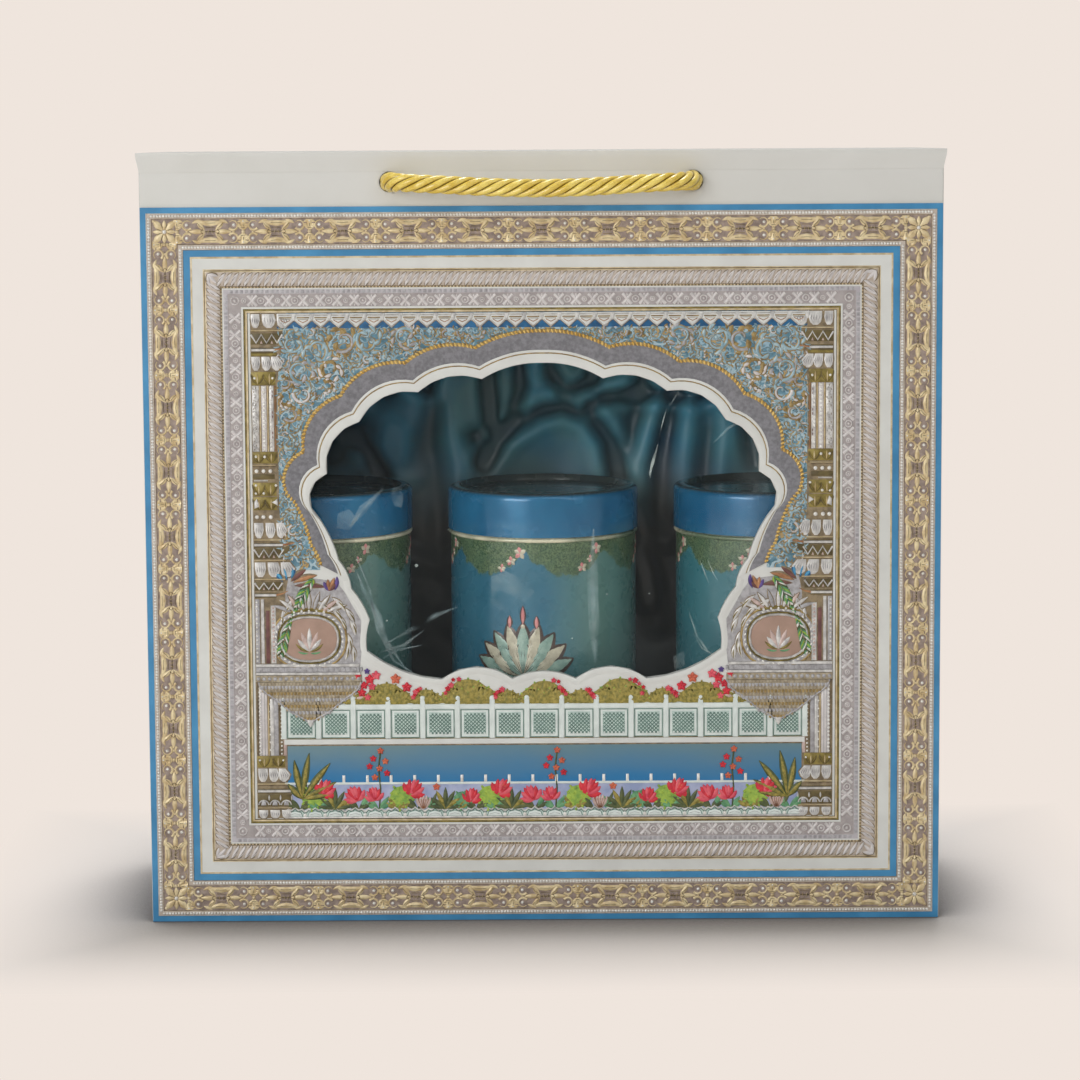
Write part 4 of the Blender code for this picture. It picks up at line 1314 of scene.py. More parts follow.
def make_oval(put):
    """The oval frame with a bud in it."""
    oval = [(10.4 * copysign(abs(u) ** 0.85, u), OVAL_MIDDLE + 8.0 * copysign(abs(v) ** 0.85, v))
            for u, v in circle(0, 0, 1, 24)]
    for tone, by, width, up in ((edging, 3.6, 1.2, 0.5), (flute, 2.6, 2.0, 0.55),
                                (silver, 0.5, 1.1, 0.85), (olive, 1.3, 0.7, 0.75)):
        tone.ridge(put, grown(oval, by), width, up, closed=True)
    terracotta.lump(put, oval, 0.36, 0.15, 1.0)
    rim = grown(oval, 2.6)
    for u, v, turn in evenly(rim + rim[:1], 2.0):
        pearl.leaf(put, u - 0.6 * cos(turn), v - 0.6 * sin(turn), turn + 0.5, 1.3, 0.9, 0.45, 0,
                   4, base=0.45)
    for lean, length, tone in ((0.85, 6.4, silver), (-0.85, 6.4, silver), (0.45, 8.0, rose),
                               (-0.45, 8.0, rose), (0.0, 9.0, silver)):
        tone.leaf(put, 0, BUD_FOOT, pi / 2 + lean, length, 2.4, 0.8, -lean * 0.25)
    for lean in (-1, 1):
        olive.leaf(put, 0, BUD_FOOT - 0.2, pi / 2 + lean * 1.35, 6.4, 1.5, 0.7, -lean * 0.8)
        leaf_cool.leaf(put, 0, BUD_FOOT - 0.6, pi / 2 + lean * 1.8, 5.0, 1.1, 0.6, -lean * 0.9)


def make_niche_leaves(put):
    """Leaves round the oval, a crown of petals over it, and sprays of fern and leaf above."""
    for u, v, angle, length in CORNER_LEAVES:
        brown.leaf(put, u, v, angle, length * 1.08, 2.9, 0.3, 0.5)
        silver.leaf(put, u, v, angle, length, 2.2, 0.55, 0.5)
        olive.leaf(put, u + 0.3, v + 0.4, angle, length * 0.7, 0.7, 0.75, 0.5)
    for k in range(9):
        lean = (k - 4) * 0.27
        tone = (silver, rose, silver, flute, silver)[k % 5]
        brown.leaf(put, -lean * 6.0, CROWN_FOOT, pi / 2 + lean, 8.6, 2.6, 0.5, lean * 0.3)
        tone.leaf(put, -lean * 6.0, CROWN_FOOT + 0.2, pi / 2 + lean, 8.0, 1.9, 0.78, lean * 0.3)
    olive.ridge(put, symmetric([(0, 120.2), (4.0, 119.8), (8.5, 118.6)]), 1.5, 0.95, swelling)
    for u in (-5.6, -2.8, 0, 2.8, 5.6):
        pearl.bead(put, u, 120.0 - u * u * 0.02, 0.6, 1.2, 7)
    for u, v, angle, length, tone in ((-5.0, 129.4, 0.1, 11.0, maroon),
                                      (-5.6, 130.6, 0.45, 9.0, rust),
                                      (-6.4, 131.0, 0.85, 7.0, maroon)):
        brown.leaf(put, u - 0.4, v, angle, length * 1.08, 3.0, 0.45, -0.35, 8)
        tone.leaf(put, u, v, angle, length, 2.2, 0.7, -0.35, 8)
    for u, v, angle, length in ((-6.4, 132.0, 1.3, 5.4), (-8.2, 131.6, 1.7, 6.6),
                                (-9.8, 131.0, 2.1, 5.0)):
        deep.leaf(put, u, v, angle, length, 2.4, 0.5, 0.5)
        bright_sky.leaf(put, u, v + 0.5, angle, length * 0.8, 1.4, 0.7, 0.5)
    stem = [(2.0, 132.4), (-0.6, 128.6), (-4.0, 122.6), (-7.0, 116.4), (-9.4, 109.4),
            (-10.8, 103.6)]
    tones = (leaf_cool, leaf_light, leaf_cool, pearl, leaf_dark)
    for k, (u, v, turn) in enumerate(evenly(stem, 0.9)):
        for lean in (-1, 1):
            tones[(k + (lean > 0)) % 5].leaf(put, u, v, turn + lean * 0.75,
                                             3.9 * (0.6 + 0.4 * sin(k * 0.28)), 0.95, 0.55,
                                             -lean * 0.5, 4, base=0.35)
    for lean, length, tone in ((-0.9, 4.6, maroon), (0.1, 4.4, rust), (-0.45, 5.4, rust),
                               (0.6, 4.0, plum)):
        tone.leaf(put, 7.6, 127.4, pi / 2 + lean, length, 1.9, 0.85, -lean * 0.3)
    plum.leaf(put, 9.8, 127.6, 1.2, 5.4, 1.8, 0.8, 0.5)


def bracket_half(z):
    """Half the bracket's width at that height."""
    for (high, wide), (low, slim) in zip(BRACKET, BRACKET[1:]):
        if low <= z <= high:
            return slim + (wide - slim) * (z - low) / (high - low)


def make_bracket(put):
    """The ledge under the oval, and rows of scales down to a drop."""
    for tone, low, end, high, up in ((silver, 98.4, 18.8, 99.6, 0.75),
                                     (flute, 96.4, 18.8, 98.4, 0.5),
                                     (silver, 95.3, 19.2, 96.4, 0.85)):
        tone.slab(put, -20.4, low, end, high, up)
    scales.slab(put, -20.6, 92.6, 19.6, 95.3, 0.6)
    for k in range(19):
        u = -19.4 + k * 2.1
        flute.lump(put, circle(u, 93.9, 0.85, 8), 0.8)
        pearl.bead(put, u, 93.9, 0.42, 0.95, 7)
        flute.slab(put, u + 0.6, 96.6, u + 1.5, 98.2, 0.7)
    outline = [(half, z) for z, half in BRACKET] + [(-half, z) for z, half in reversed(BRACKET)]
    scales.plate([put(u, v) for u, v in outline], 0.62)
    for row in range(12):
        z = 92.5 - row * SCALE_RISE
        half = bracket_half(z)
        count = max(int(2 * half / SCALE_WIDTH), 1)
        width = 2 * half / count
        tone = (scales, flute, scales, edging)[row % 4]
        for k in range(count):
            mid = -half + (k + (0.75 if row % 2 else 0.25)) * width
            tone.lump(put, [(mid - width * 0.44, z), (mid + width * 0.44, z),
                            (mid + width * 0.34, z - 0.95), (mid, z - 1.4),
                            (mid - width * 0.34, z - 0.95)], 0.28, 0.35, 1.2, BRACKET_FACE)
    for way in (-1, 1):
        flute.ridge(put, [(way * half, v) for v, half in BRACKET], 0.9, 0.35, base=BRACKET_FACE)
    silver.lump(put, [(-1.2, 78.2), (1.2, 78.2), (0.8, 76.4), (0, 75.2), (-0.8, 76.4)], 0.4,
                base=BRACKET_FACE)
    for u, v, tone in ((13.0, 86.4, silver), (15.4, 85.0, rose), (10.6, 84.8, silver)):
        tone.leaf(put, u, v, 0.5, 5.6, 1.8, 0.6, -0.4)


def make_niche(side):
    """A bud in an oval frame on a scaled bracket."""
    put = placer(side * NICHE_X, 0, mirror=-side)
    back = [(-12.0, 98.5), (19.0, 98.5), (19.6, 104.0), (19.4, 110.0), (19.6, 116.0),
            (16.4, 121.6), (13.4, 127.0), (10.4, 131.0), (-4.0, 133.0), (-10.0, 133.0),
            (-12.0, 124.0)]
    flute.plate([put(u, v) for u, v in back], 0.12)
    make_oval(put)
    make_niche_leaves(put)
    make_bracket(put)


for side in (-1, 1):
    make_niche(side)


# The lower part of the picture

def fan(relief, accent, put, radius, count, height=0.45):
    """A half-round fan of leaves."""
    for k in range(count):
        angle = pi * (k + 0.5) / count
        length = radius * (0.92 + 0.08 * sin(angle))
        relief.leaf(put, 0, 0, angle, length, radius * 3.3 / count, height, 0, 6)
        accent.bead(put, length * 1.02 * cos(angle), length * 1.02 * sin(angle) + 0.2,
                    0.42, height + 0.1, 6)
    relief.lump(put, circle(0, radius * 0.22, radius * 0.3, 10), height * 1.3)


def floret(put, tone, size):
    for petal in range(5):
        angle = tau * petal / 5 + 0.3
        tone.leaf(put, 0, 0, angle, size, size * 0.8, 0.5, 0, 3, base=0.35)


FAN_FOOT = 84.2
# Fans from the middle outwards: x and radius
FANS = ((0, 8.2), (14.0, 4.8), (28.8, 9.0), (44.8, 5.2), (59.6, 7.6), (71.0, 4.6))
# Blossoms beside the window: x, z, size and tone
SIDE_BLOSSOMS = (
    (66.0, 93.5, 2.0, red), (63.6, 95.0, 1.9, pink), (68.2, 91.2, 1.6, red),
    (65.2, 90.8, 1.6, pink), (56.2, 93.6, 2.1, coral), (67.0, 96.6, 1.2, plum),
    (70.4, 94.8, 1.3, red), (52.0, 90.4, 2.0, red), (69.0, 88.4, 1.7, red),
    (66.8, 86.6, 1.4, pink),
)


def make_fans():
    rng = random.Random(9)
    for x, radius in FANS:
        for mirror in ((-1, 1) if x else (1,)):
            middle = mirror * x
            for shift, share in ((-0.55, 0.66), (0.55, 0.72), (0.0, 1.0)):
                near = placer(middle + shift * radius, FAN_FOOT)
                reach = radius * 1.02 * share
                hedge.lump(near, circle(0, 0, reach, 13, 0.0, pi), 0.24, 0.15, 1.0)
                fan(hedge, leaf_light if radius > 8 else hedge, near, radius * share, 7)
            if x < 50:
                for k in range(5):
                    angle = (0.35 + 0.2 * k) if middle >= 0 else (2.75 - 0.2 * k)
                    reach = radius * rng.uniform(0.98, 1.16)
                    floret(placer(middle + reach * cos(angle), 84.6 + reach * sin(angle)),
                           (pink, red)[k % 2], rng.uniform(0.8, 1.3))
    for mirror in (-1, 1):
        for x, z, size, tone in SIDE_BLOSSOMS:
            floret(placer(mirror * x, z), tone, size)


def blossom(put, size, tone, second):
    """A generic open flower seen from the side."""
    for lean, petal in ((-1.25, tone), (1.2, tone), (-0.7, second), (0.65, tone), (-0.3, tone),
                        (0.25, second), (0.0, tone)):
        petal.leaf(put, 0, 0, pi / 2 + lean, size * (1.05 - 0.14 * abs(lean)), size * 0.40,
                   0.66 - 0.10 * abs(lean), -lean * 0.45, 6, base=0.2)
        second.ridge(put, [(0, 0.2), (-size * 0.6 * sin(lean), size * 0.6 * cos(lean))],
                     size * 0.06, 0.8, pointed, base=0.2)
    second.bead(put, 0, size * 0.2, size * 0.12, 0.85, 7, base=0.2)


def lattice(put, half_u, half_v, pitch, tone):
    """Crossed slanting bars that fill a rectangle."""
    reach = half_u + half_v
    count = int(reach / pitch)
    for k in range(-count, count + 1):
        offset = (k + 0.5) * pitch
        for tilt in (-1, 1):
            low = max(-half_u, -half_v - offset)
            high = min(half_u, half_v - offset)
            if high - low > 0.6:
                tone.ridge(put, [(tilt * low, low + offset), (tilt * high, high + offset)], 0.4,
                           0.34, base=0.1)


PANEL_COUNT = 15
PANEL_BASE = 0.1


WATER_LOW = 53.6
WATER_HIGH = 68.1
GROUND_LOW = 43.2


def make_frieze():
    """The pale frieze of pierced panels and the ledge under it."""
    for relief, low, high, up in ((pale_mint, 70.4, 84.0, 0.14), (pale_mint, 82.0, 83.9, 0.5),
                                  (cream, 68.5, 70.6, 0.48), (brown, 68.0, 68.5, 0.3),
                                  (edging, 70.6, 70.9, 0.3)):
        bar_across(relief, FIELD_HALF, low, high, up)
    pitch = 2 * FIELD_HALF / PANEL_COUNT
    for k in range(PANEL_COUNT + 1):
        post = placer(-FIELD_HALF + k * pitch, 76.5)
        pale_mint.slab(post, -1.0, -5.8, 1.0, 9.2, 0.62)
        pale_mint.bead(post, 0, 9.6, 1.2, 0.75, 9)
    half = pitch / 2 - 1.35
    for put in side_by_side(FIELD_HALF, PANEL_COUNT, 76.3):
        mint_dark.ridge(put, [(-half, -5.2), (half, -5.2), (half, 5.3), (-half, 5.3)], 0.55,
                        0.3, closed=True, base=PANEL_BASE)
        mint.slab(put, -half + 1.0, -4.0, half - 1.0, 4.4, 0.12, PANEL_BASE)
        lattice(put, half - 1.2, 3.9, 1.42, mint_dark)
        for dot in range(6):
            u = (dot - 2.5) / 3 * (half - 1.0)
            pale_mint.bead(put, u, -3.6, 0.5, 0.42, 6, PANEL_BASE)


def make_pool_finish():
    """The band under the ledge: grey blue at its top, clearer below."""
    nodes = Nodes("water_ink")
    clouds = nodes.ramp_between(nodes.noise(60, 4.0, (0.35, 1, 1)), 0.3, 0.7, -0.16, 0.16)
    depth = nodes.ramp_between(nodes.axes()[2], 0.068, 0.0545)
    nodes.colour(nodes.mix(nodes.math("ADD", depth, clouds), (100, 130, 138), (34, 116, 168)))
    nodes.rough(nodes.noise(200, 3.0), 0.36, 0.5)
    nodes.bump(nodes.noise(2600, 2.0), 0.2, 0.0001)
    return nodes.material


def make_bush(put, radius, tone):
    tone.lump(put, circle(0, 0, radius, 12), 0.36, 0.4)
    for k in range(16):
        angle = k * 2.4
        reach = radius * 0.95 * sqrt((k + 0.5) / 16)
        tone.leaf(put, reach * cos(angle), reach * sin(angle), angle, radius * 0.34,
                  radius * 0.26, 0.5, 0, 3, base=0.2)


def make_agave(put, size, tones):
    for k in range(7):
        lean = (k - 3) * 0.42
        tones[k % len(tones)].leaf(put, 0, 0, pi / 2 + lean, size * (1.0 - 0.06 * abs(k - 3)),
                                   size * 0.24, 0.55 + 0.04 * (3 - abs(k - 3)), lean * 0.25, 6,
                                   base=0.1)


PLANT_FOOT = 43.4
PLANTS = ("bush", "agave", "rose", "stalk", "bush", "bud", "agave", "red")
PLANT_COUNT = 22
POST_COUNT = 22


def make_plant(motif, x):
    put = placer(x, PLANT_FOOT)

    def near(u, v, turn=0.0):
        return placer(x + u, PLANT_FOOT + v, turn)

    if motif == "bush":
        make_bush(near(0, 4.6), 4.4, leaf_light)
        blossom(near(3.4, 5.4, -0.5), 6.4, red, pink)
    elif motif == "agave":
        make_agave(put, 8.4, (leaf_dark, hedge, leaf_dark))
        floret(near(-3.4, 8.6), coral, 1.5)
    elif motif == "rose":
        blossom(near(0, 3.2, 0.45), 6.0, pink, red)
        leaf_cool.leaf(put, 1.0, 0.4, 0.9, 6.5, 2.4, 0.5, 0.4)
    elif motif == "stalk":
        leaf_dark.ridge(put, [(0, 0.4), (0.5, 8), (-0.2, 16), (0.6, 22)], 0.7, 0.5)
        for step, (u, v) in enumerate(((0.6, 22.6), (-2.2, 19.6), (2.4, 18.6), (-3.6, 16.6),
                                       (0.2, 15.8), (3.0, 14.0), (-1.6, 12.4))):
            floret(near(u, v), (coral, red)[step % 2], 1.35)
        blossom(near(-1.6, 3.4, 0.2), 5.2, pink, red)
    elif motif == "bud":
        for lean in (-0.7, 0.7, -0.3, 0.3, 0.0):
            rose.leaf(put, 0, 0, pi / 2 + lean, 5.4, 1.9, 0.6, -lean * 0.6, 5, 0.2)
            rust.ridge(put, [(-lean * 0.8, 0.4), (-lean * 3.0, 4.0)], 0.35, 0.85, base=0.2)
        leaf_dark.leaf(put, 2.0, 0.2, 1.0, 7.0, 1.7, 0.5, 0.3)
    else:
        make_bush(near(-2.0, 3.4), 3.4, leaf_cool)
        blossom(near(1.2, 2.6, -0.2), 5.4, red, pink)


def make_border_of_plants():
    rng = random.Random(3)
    for k in range(26):
        put = placer(-93.0 + k * 186.0 / 25, PLANT_FOOT)
        tone = (leaf_dark, leaf_cool, hedge)[k % 3]
        for lean in (-1.25, -0.8, 0.8, 1.25):
            tone.leaf(put, 0, 0.2, pi / 2 + lean, rng.uniform(4.5, 6.6), 2.2, 0.45, -lean * 0.3)
    for k in range(PLANT_COUNT):
        make_plant(PLANTS[k % len(PLANTS)], -88.0 + k * 176.0 / (PLANT_COUNT - 1))
    for mirror in (-1, 1):
        put = placer(mirror * 92.0, 47.5, mirror=-mirror)
        for lean, length in ((0.25, 15.0), (-0.1, 17.5), (-0.6, 17.0), (-1.05, 14.0),
                             (-1.35, 11.0), (0.8, 8.0)):
            angle = pi / 2 + lean
            leaf_dark.leaf(put, 0, 0, angle, length * 1.03, 2.9, 0.6, -0.12, 8, 0.2)
            hedge.leaf(put, 0, 0, angle, length, 2.0, 0.75, -0.12, 8, 0.2)
            leaf_light.ridge(put, [(0, 0.5), (-sin(lean) * length * 0.75,
                                              cos(lean) * length * 0.75)], 0.4, 0.95, pointed,
                             base=0.2)


def make_foot():
    water = Relief("print_water", make_pool_finish())
    strip = Relief("print_lilac_strip", printed("lilac_blue_ink", (172, 178, 204),
                                                (142, 154, 188), 160, (0.42, 0.55)))
    make_frieze()
    bar_across(water, FIELD_HALF, WATER_LOW, WATER_HIGH, 0.12)
    bar_across(strip, FIELD_HALF, GROUND_LOW, WATER_LOW, 0.12)
    bar_across(pale_mint, FIELD_HALF, WATER_LOW - 0.6, WATER_LOW + 0.3, 0.35)
    for post in side_by_side(FIELD_HALF, POST_COUNT, WATER_LOW):
        pearl.slab(post, -0.55, 0.2, 0.55, 3.0, 0.4)
    make_border_of_plants()
    water.finish()
    strip.finish()


make_fans()
make_foot()

for relief in PRINTED:
    relief.finish()


# The boards

def make_boards():
    blue = paper("blue_wrap", (58, 129, 183), (55, 125, 178))
    header = paper("header_wrap", (213, 212, 207), (208, 207, 201))
    side = paper("side_wrap", (58, 129, 183), (55, 125, 178), ((208, 207, 201), (212, 211, 206)))
    for material, names in ((header, ("front_board", "lid_board", "hinge_tape_back",
                                      "hinge_tape_lid")),
                            (side, ("left_board", "right_board", "back_board")),
                            (blue, ("bottom_board",))):
        for name in names:
            give(name, material)


# The lip's section, top to bottom: height, its face's y and its half width, in millimetres
LIP_SECTION = ((292.25, -49.25, 151.0), (291.2, -49.3, 151.0), (289.8, -49.12, 150.8),
               (288.0, -48.72, 150.4), (286.2, -48.36, 150.05), (284.9, -48.14, 149.85))
LIP_COLUMNS = 24
# The lip's back leans on the board's edge above this height, and on the wall below it
LIP_STEP = 289.7
LIP_BACK = (-49.02, -48.04)


def make_lid_lip():
    """The paper lip that the top board's wrap turns down over the wall's upper edge."""
    points = []
    for z, y, half in LIP_SECTION:
        for face_y in (y, LIP_BACK[z < LIP_STEP]):
            points += [(half * (2 * k / LIP_COLUMNS - 1) * MM, face_y * MM, z * MM)
                       for k in range(LIP_COLUMNS + 1)]
    row = LIP_COLUMNS + 1
    count = len(LIP_SECTION)
    faces = []
    for a, b in [(i, i + 2) for i in range(2 * count - 2)] + [(0, 1), (2 * count - 2,
                                                                      2 * count - 1)]:
        faces += [(a * row + k, a * row + k + 1, b * row + k + 1, b * row + k)
                  for k in range(LIP_COLUMNS)]
    for i in range(count - 1):
        for k in (0, LIP_COLUMNS):
            a = 2 * i * row + k
            faces.append((a, a + row, a + 3 * row, a + 2 * row))
    link("lid_lip", mesh_of("lid_lip", points, faces, 50),
         bpy.data.materials["header_wrap"], "top_lid")


make_boards()
make_lid_lip()


# Foam, film and satin

def make_foam():
    nodes = Nodes("flocked_foam")
    nodes.set(Sheen_Weight=0.5, Sheen_Roughness=0.5)
    tufts = nodes.noise(900, 3.0)
    nodes.colour(nodes.mix(nodes.ramp_between(tufts, 0.35, 0.65), (22, 32, 38), (46, 62, 70)))
    nodes.rough(tufts, 0.85, 1.0)
    nodes.bump(nodes.noise(2200, 3.0), 0.6, 0.0004)
    give("foam_insert", nodes.material)


def make_film():
    nodes = Nodes("clear_film")
    nodes.set(Base_Color=(196, 208, 212), IOR=1.5)
    # Painted shine: the clear film turns milky along noise creases and streaks.
    shine_creases = nodes.noise(11, 2.0, (1.0, 1.0, 0.45))
    shine_streak = nodes.noise(40, 1.0, (0.9, 1.0, 0.14))
    alpha = nodes.math("MULTIPLY", nodes.ramp_between(shine_creases, 0.54, 0.74),
                       nodes.ramp_between(shine_streak, 0.45, 0.7, 0.25, 1.0))
    nodes.set(Alpha=nodes.ramp_between(alpha, 0.0, 1.0, 0.011, 0.08))
    nodes.rough(shine_creases, 0.05, 0.12)
    nodes.bump(nodes.noise(14, 2.0, (1.0, 1.0, 0.5)), 0.25, 0.004)
    give("window_film", nodes.material)


# Creases and soft patches of the film, with its shine painted on them in whitish see-through
# tones: each as points on the window's plane in millimetres, with its width and its strength
PAINTED_SHINE_CREASES = (
    (((-70.5, 134), (-67.6, 126), (-62.6, 117), (-60.0, 108), (-52.0, 96)), 2.6, 0),
    (((-61.0, 106), (-50.0, 112), (-40.5, 117.5), (-32.5, 120.5)), 2.2, 0),
    (((-63.0, 103), (-53.0, 106), (-45.0, 112)), 1.6, 0),
    (((-74.0, 150), (-68.0, 158), (-60.0, 166)), 3.2, 0),
    (((46.8, 196), (45.4, 191), (44.4, 187)), 0.5, 1),
    (((43.4, 182), (41.4, 175), (40.0, 170)), 1.3, 1),
    (((42.6, 178), (41.0, 173), (40.4, 169)), 0.6, 1),
    (((52.0, 204), (49.5, 199), (47.5, 196)), 0.5, 1),
    (((58.8, 138.5), (61.0, 133), (62.6, 129)), 0.5, 1),
    (((62.0, 138.0), (64.4, 132.5), (66.6, 129)), 0.5, 1),
    (((55.0, 118), (58.0, 109), (62.0, 103), (67.0, 100)), 0.9, 1),
    (((56.6, 110), (60.0, 104), (65.0, 101)), 0.5, 1),
    (((64.0, 182), (70.0, 188), (77.0, 192)), 1.4, 0),
    (((19.0, 150), (18.4, 132), (19.0, 114), (19.6, 96)), 4.5, 0),
    (((-72.0, 143), (-66.0, 128), (-63.0, 112), (-57.0, 100), (-46.0, 93)), 1.4, 0),
    (((-64.0, 99), (-56.0, 104), (-46.0, 106)), 1.2, 0),
    (((-86.4, 178), (-84.0, 183), (-81.5, 186)), 1.0, 1),
    (((76.0, 192), (81.0, 187), (84.0, 183)), 1.2, 1),
)
SHINE_PATCHES = (
    (((-19.8, 132), (-14.0, 134), (-6.5, 130), (-3.4, 126), (-8.0, 121.5), (-16.5, 119),
      (-20.0, 122)), 0),
    (((-56.5, 166), (-53.8, 166.5), (-52.6, 162.5), (-53.4, 158.6), (-56.0, 159.0),
      (-57.4, 162.5)), 0),
    (((-77.5, 156.5), (-73.0, 158), (-70.0, 154.0), (-73.0, 150.0), (-78.0, 151.0)), 0),
    (((49.0, 101), (53.0, 103), (53.6, 97.5), (49.6, 96.0)), 0),
)
# Painted glints on the film: x, z and radius in millimetres
GLINT_SPECKS = ((-48.0, 136.4, 0.7), (24.0, 125.0, 0.35), (10.8, 108.2, 0.35), (-59.4, 115.4, 0.4),
          (-33.2, 146.8, 0.35), (40.0, 125.2, 0.3), (-36.0, 150.0, 0.3), (-76.6, 188.0, 0.35))


FILM_FACE_Y = -0.04576


def make_film_marks():
    """The film's creases and soft patches, raised a little from it, with its shine painted on
    them.
    """
    shine_marks = []
    for strength, (alpha, light) in enumerate(((0.07, (140, 190, 204)), (0.22, (196, 220, 216)))):
        nodes = Nodes(f"film_painted_shine_{strength}")
        nodes.set(Roughness=0.25)
        grain = nodes.noise(120, 3.0)
        nodes.colour(nodes.mix(grain, light, (232, 236, 230)))
        nodes.set(Alpha=nodes.ramp_between(nodes.noise(75, 2.0), 0.36, 0.64, 0.0, alpha * 1.7))
        shine_marks.append(Relief(f"film_creases_painted_shine_{strength}", nodes.material))
    for line, width, strength in PAINTED_SHINE_CREASES:
        shine_marks[strength].ridge(plain, line, width, 0.12, pointed)
        if strength == 0:
            shine_marks[strength].ridge(plain, line, width * 0.4, 0.12, pointed, base=0.1)
    for outline, strength in SHINE_PATCHES:
        shine_marks[strength].lump(plain, outline, 0.10, 0.35, 1.0)
    for x, z, radius in GLINT_SPECKS:
        shine_marks[1].bead(plain, x, z, radius, 0.14, 7)

    def to_film(x, z, up):
        return x * MM, FILM_FACE_Y - up * MM, z * MM

    for relief in shine_marks:
        relief.finish("box", "window_film", 60, to_film)


SATIN_HALF = 0.1462
SATIN_LOW = 0.0245
SATIN_HIGH = 0.2718
SATIN_FRONT = 0.0372
SATIN_BACK = 0.0446
SATIN_THICKNESS = 0.0004
# How far forward, as a share of the folds' depth, the painted valley shade ends and the painted
# crest light starts
VALLEY_SHARE = 0.16
CREST_SHARE = 0.80
# How much wider folds and grooves are made than they are listed
FOLD_SPREAD = 1.75
GROOVE_SPREAD = 1.25
# Folds of the cloth: points along each in millimetres, then its width and its depth share,
# which is below zero for a groove
FOLDS = (
    (((-41.0, 230), (-38.5, 200), (-36.0, 184), (-33.7, 166), (-33.0, 140), (-35.0, 100)),
     3.2, 0.75),
    (((-22.4, 225), (-22.2, 196), (-20.5, 183), (-17.0, 178), (-12.9, 183), (-9.2, 193),
      (-8.0, 215)), 2.6, -0.72),
    (((-24.0, 166), (-15.5, 177), (-2.9, 186), (8.4, 189), (19.7, 185), (27.0, 174),
      (30.0, 160)), 2.8, -0.80),
    (((1.0, 222), (2.5, 204), (8.0, 196), (14.0, 195), (20.0, 199), (22.5, 212), (22.0, 225)),
     2.6, -0.70),
    (((19.7, 190), (28.6, 193), (44.9, 194), (62.5, 192), (82.0, 198)), 2.4, -0.75),
    (((50.0, 214), (47.4, 192), (43.0, 178), (40.0, 166), (39.5, 140), (42.0, 110)), 2.5, 0.85),
    (((64.0, 222), (60.5, 190), (58.8, 170), (58.0, 140)), 3.0, 0.55),
    (((-64.0, 215), (-66.0, 197), (-72.0, 182), (-84.0, 170)), 4.0, -0.60),
    (((-50.0, 226), (-49.5, 205), (-53.2, 187), (-60.0, 172)), 3.4, 0.60),
    (((-104.0, 214), (-88.0, 202), (-74.0, 194), (-62.0, 178), (-57.0, 160)), 3.4, 0.65),
    (((-96.0, 190), (-82.0, 181), (-70.0, 170), (-64.0, 158)), 2.4, -0.60),
    (((-58.0, 210), (-54.0, 200), (-47.0, 196), (-43.5, 204), (-45.0, 216)), 2.4, -0.60),
    (((-30.0, 214), (-29.0, 198), (-27.5, 184)), 2.6, 0.50),
    (((-8.0, 214), (-3.0, 205), (0.5, 212)), 2.6, 0.45),
    (((33.0, 214), (34.0, 202), (30.0, 196)), 2.4, 0.50),
    (((76.0, 212), (72.0, 196), (74.0, 178), (72.0, 160)), 2.8, 0.60),
    (((92.0, 206), (84.0, 186), (86.0, 164)), 2.8, -0.55),
    (((-56.0, 128), (-47.5, 124), (-40.6, 122), (-32.5, 126), (-24.0, 134)), 2.4, 0.55),
    (((-47.0, 112), (-43.0, 104), (-44.0, 92)), 3.0, 0.5),
    (((33.0, 150), (41.0, 139), (50.0, 133)), 2.4, 0.55),
    (((36.0, 128), (44.0, 118), (46.0, 100)), 2.6, 0.5),
    (((-110.0, 260), (-104.0, 200), (-112.0, 140), (-106.0, 60)), 5.0, 0.6),
    (((110.0, 260), (103.0, 190), (111.0, 130), (104.0, 60)), 5.0, 0.6),
    (((-132.0, 262), (-126.0, 180), (-134.0, 90)), 4.5, 0.6),
    (((132.0, 262), (127.0, 170), (133.0, 80)), 4.5, 0.6),
    (((-80.0, 262), (-40.0, 244), (0.0, 240), (42.0, 245), (82.0, 262)), 4.5, 0.55),
    (((-84.0, 60), (-30.0, 52), (20.0, 58), (80.0, 50)), 5.0, 0.5),
)


def satin_depth(x, z):
    """From 0 at the back to 1 at the front, for a place on the cloth in millimetres."""
    share = 0.38 + 0.14 * sin(x / 11.0 + z / 26.0) + 0.07 * sin(x / 5.3 - z / 19.0)
    for line, width, height in FOLDS:
        width *= FOLD_SPREAD if height > 0 else GROOVE_SPREAD
        lowest = min(p[0] for p in line) - 3 * width
        highest = max(p[0] for p in line) + 3 * width
        if lowest < x < highest:
            away = off_line((x, z), line)
            if away < 3 * width:
                share += 0.62 * height * exp(-(away / width) ** 2)
                share -= 0.26 * height * exp(-((away - 1.7 * width) / (0.8 * width)) ** 2)
    return max(0.0, min(1.0, share))


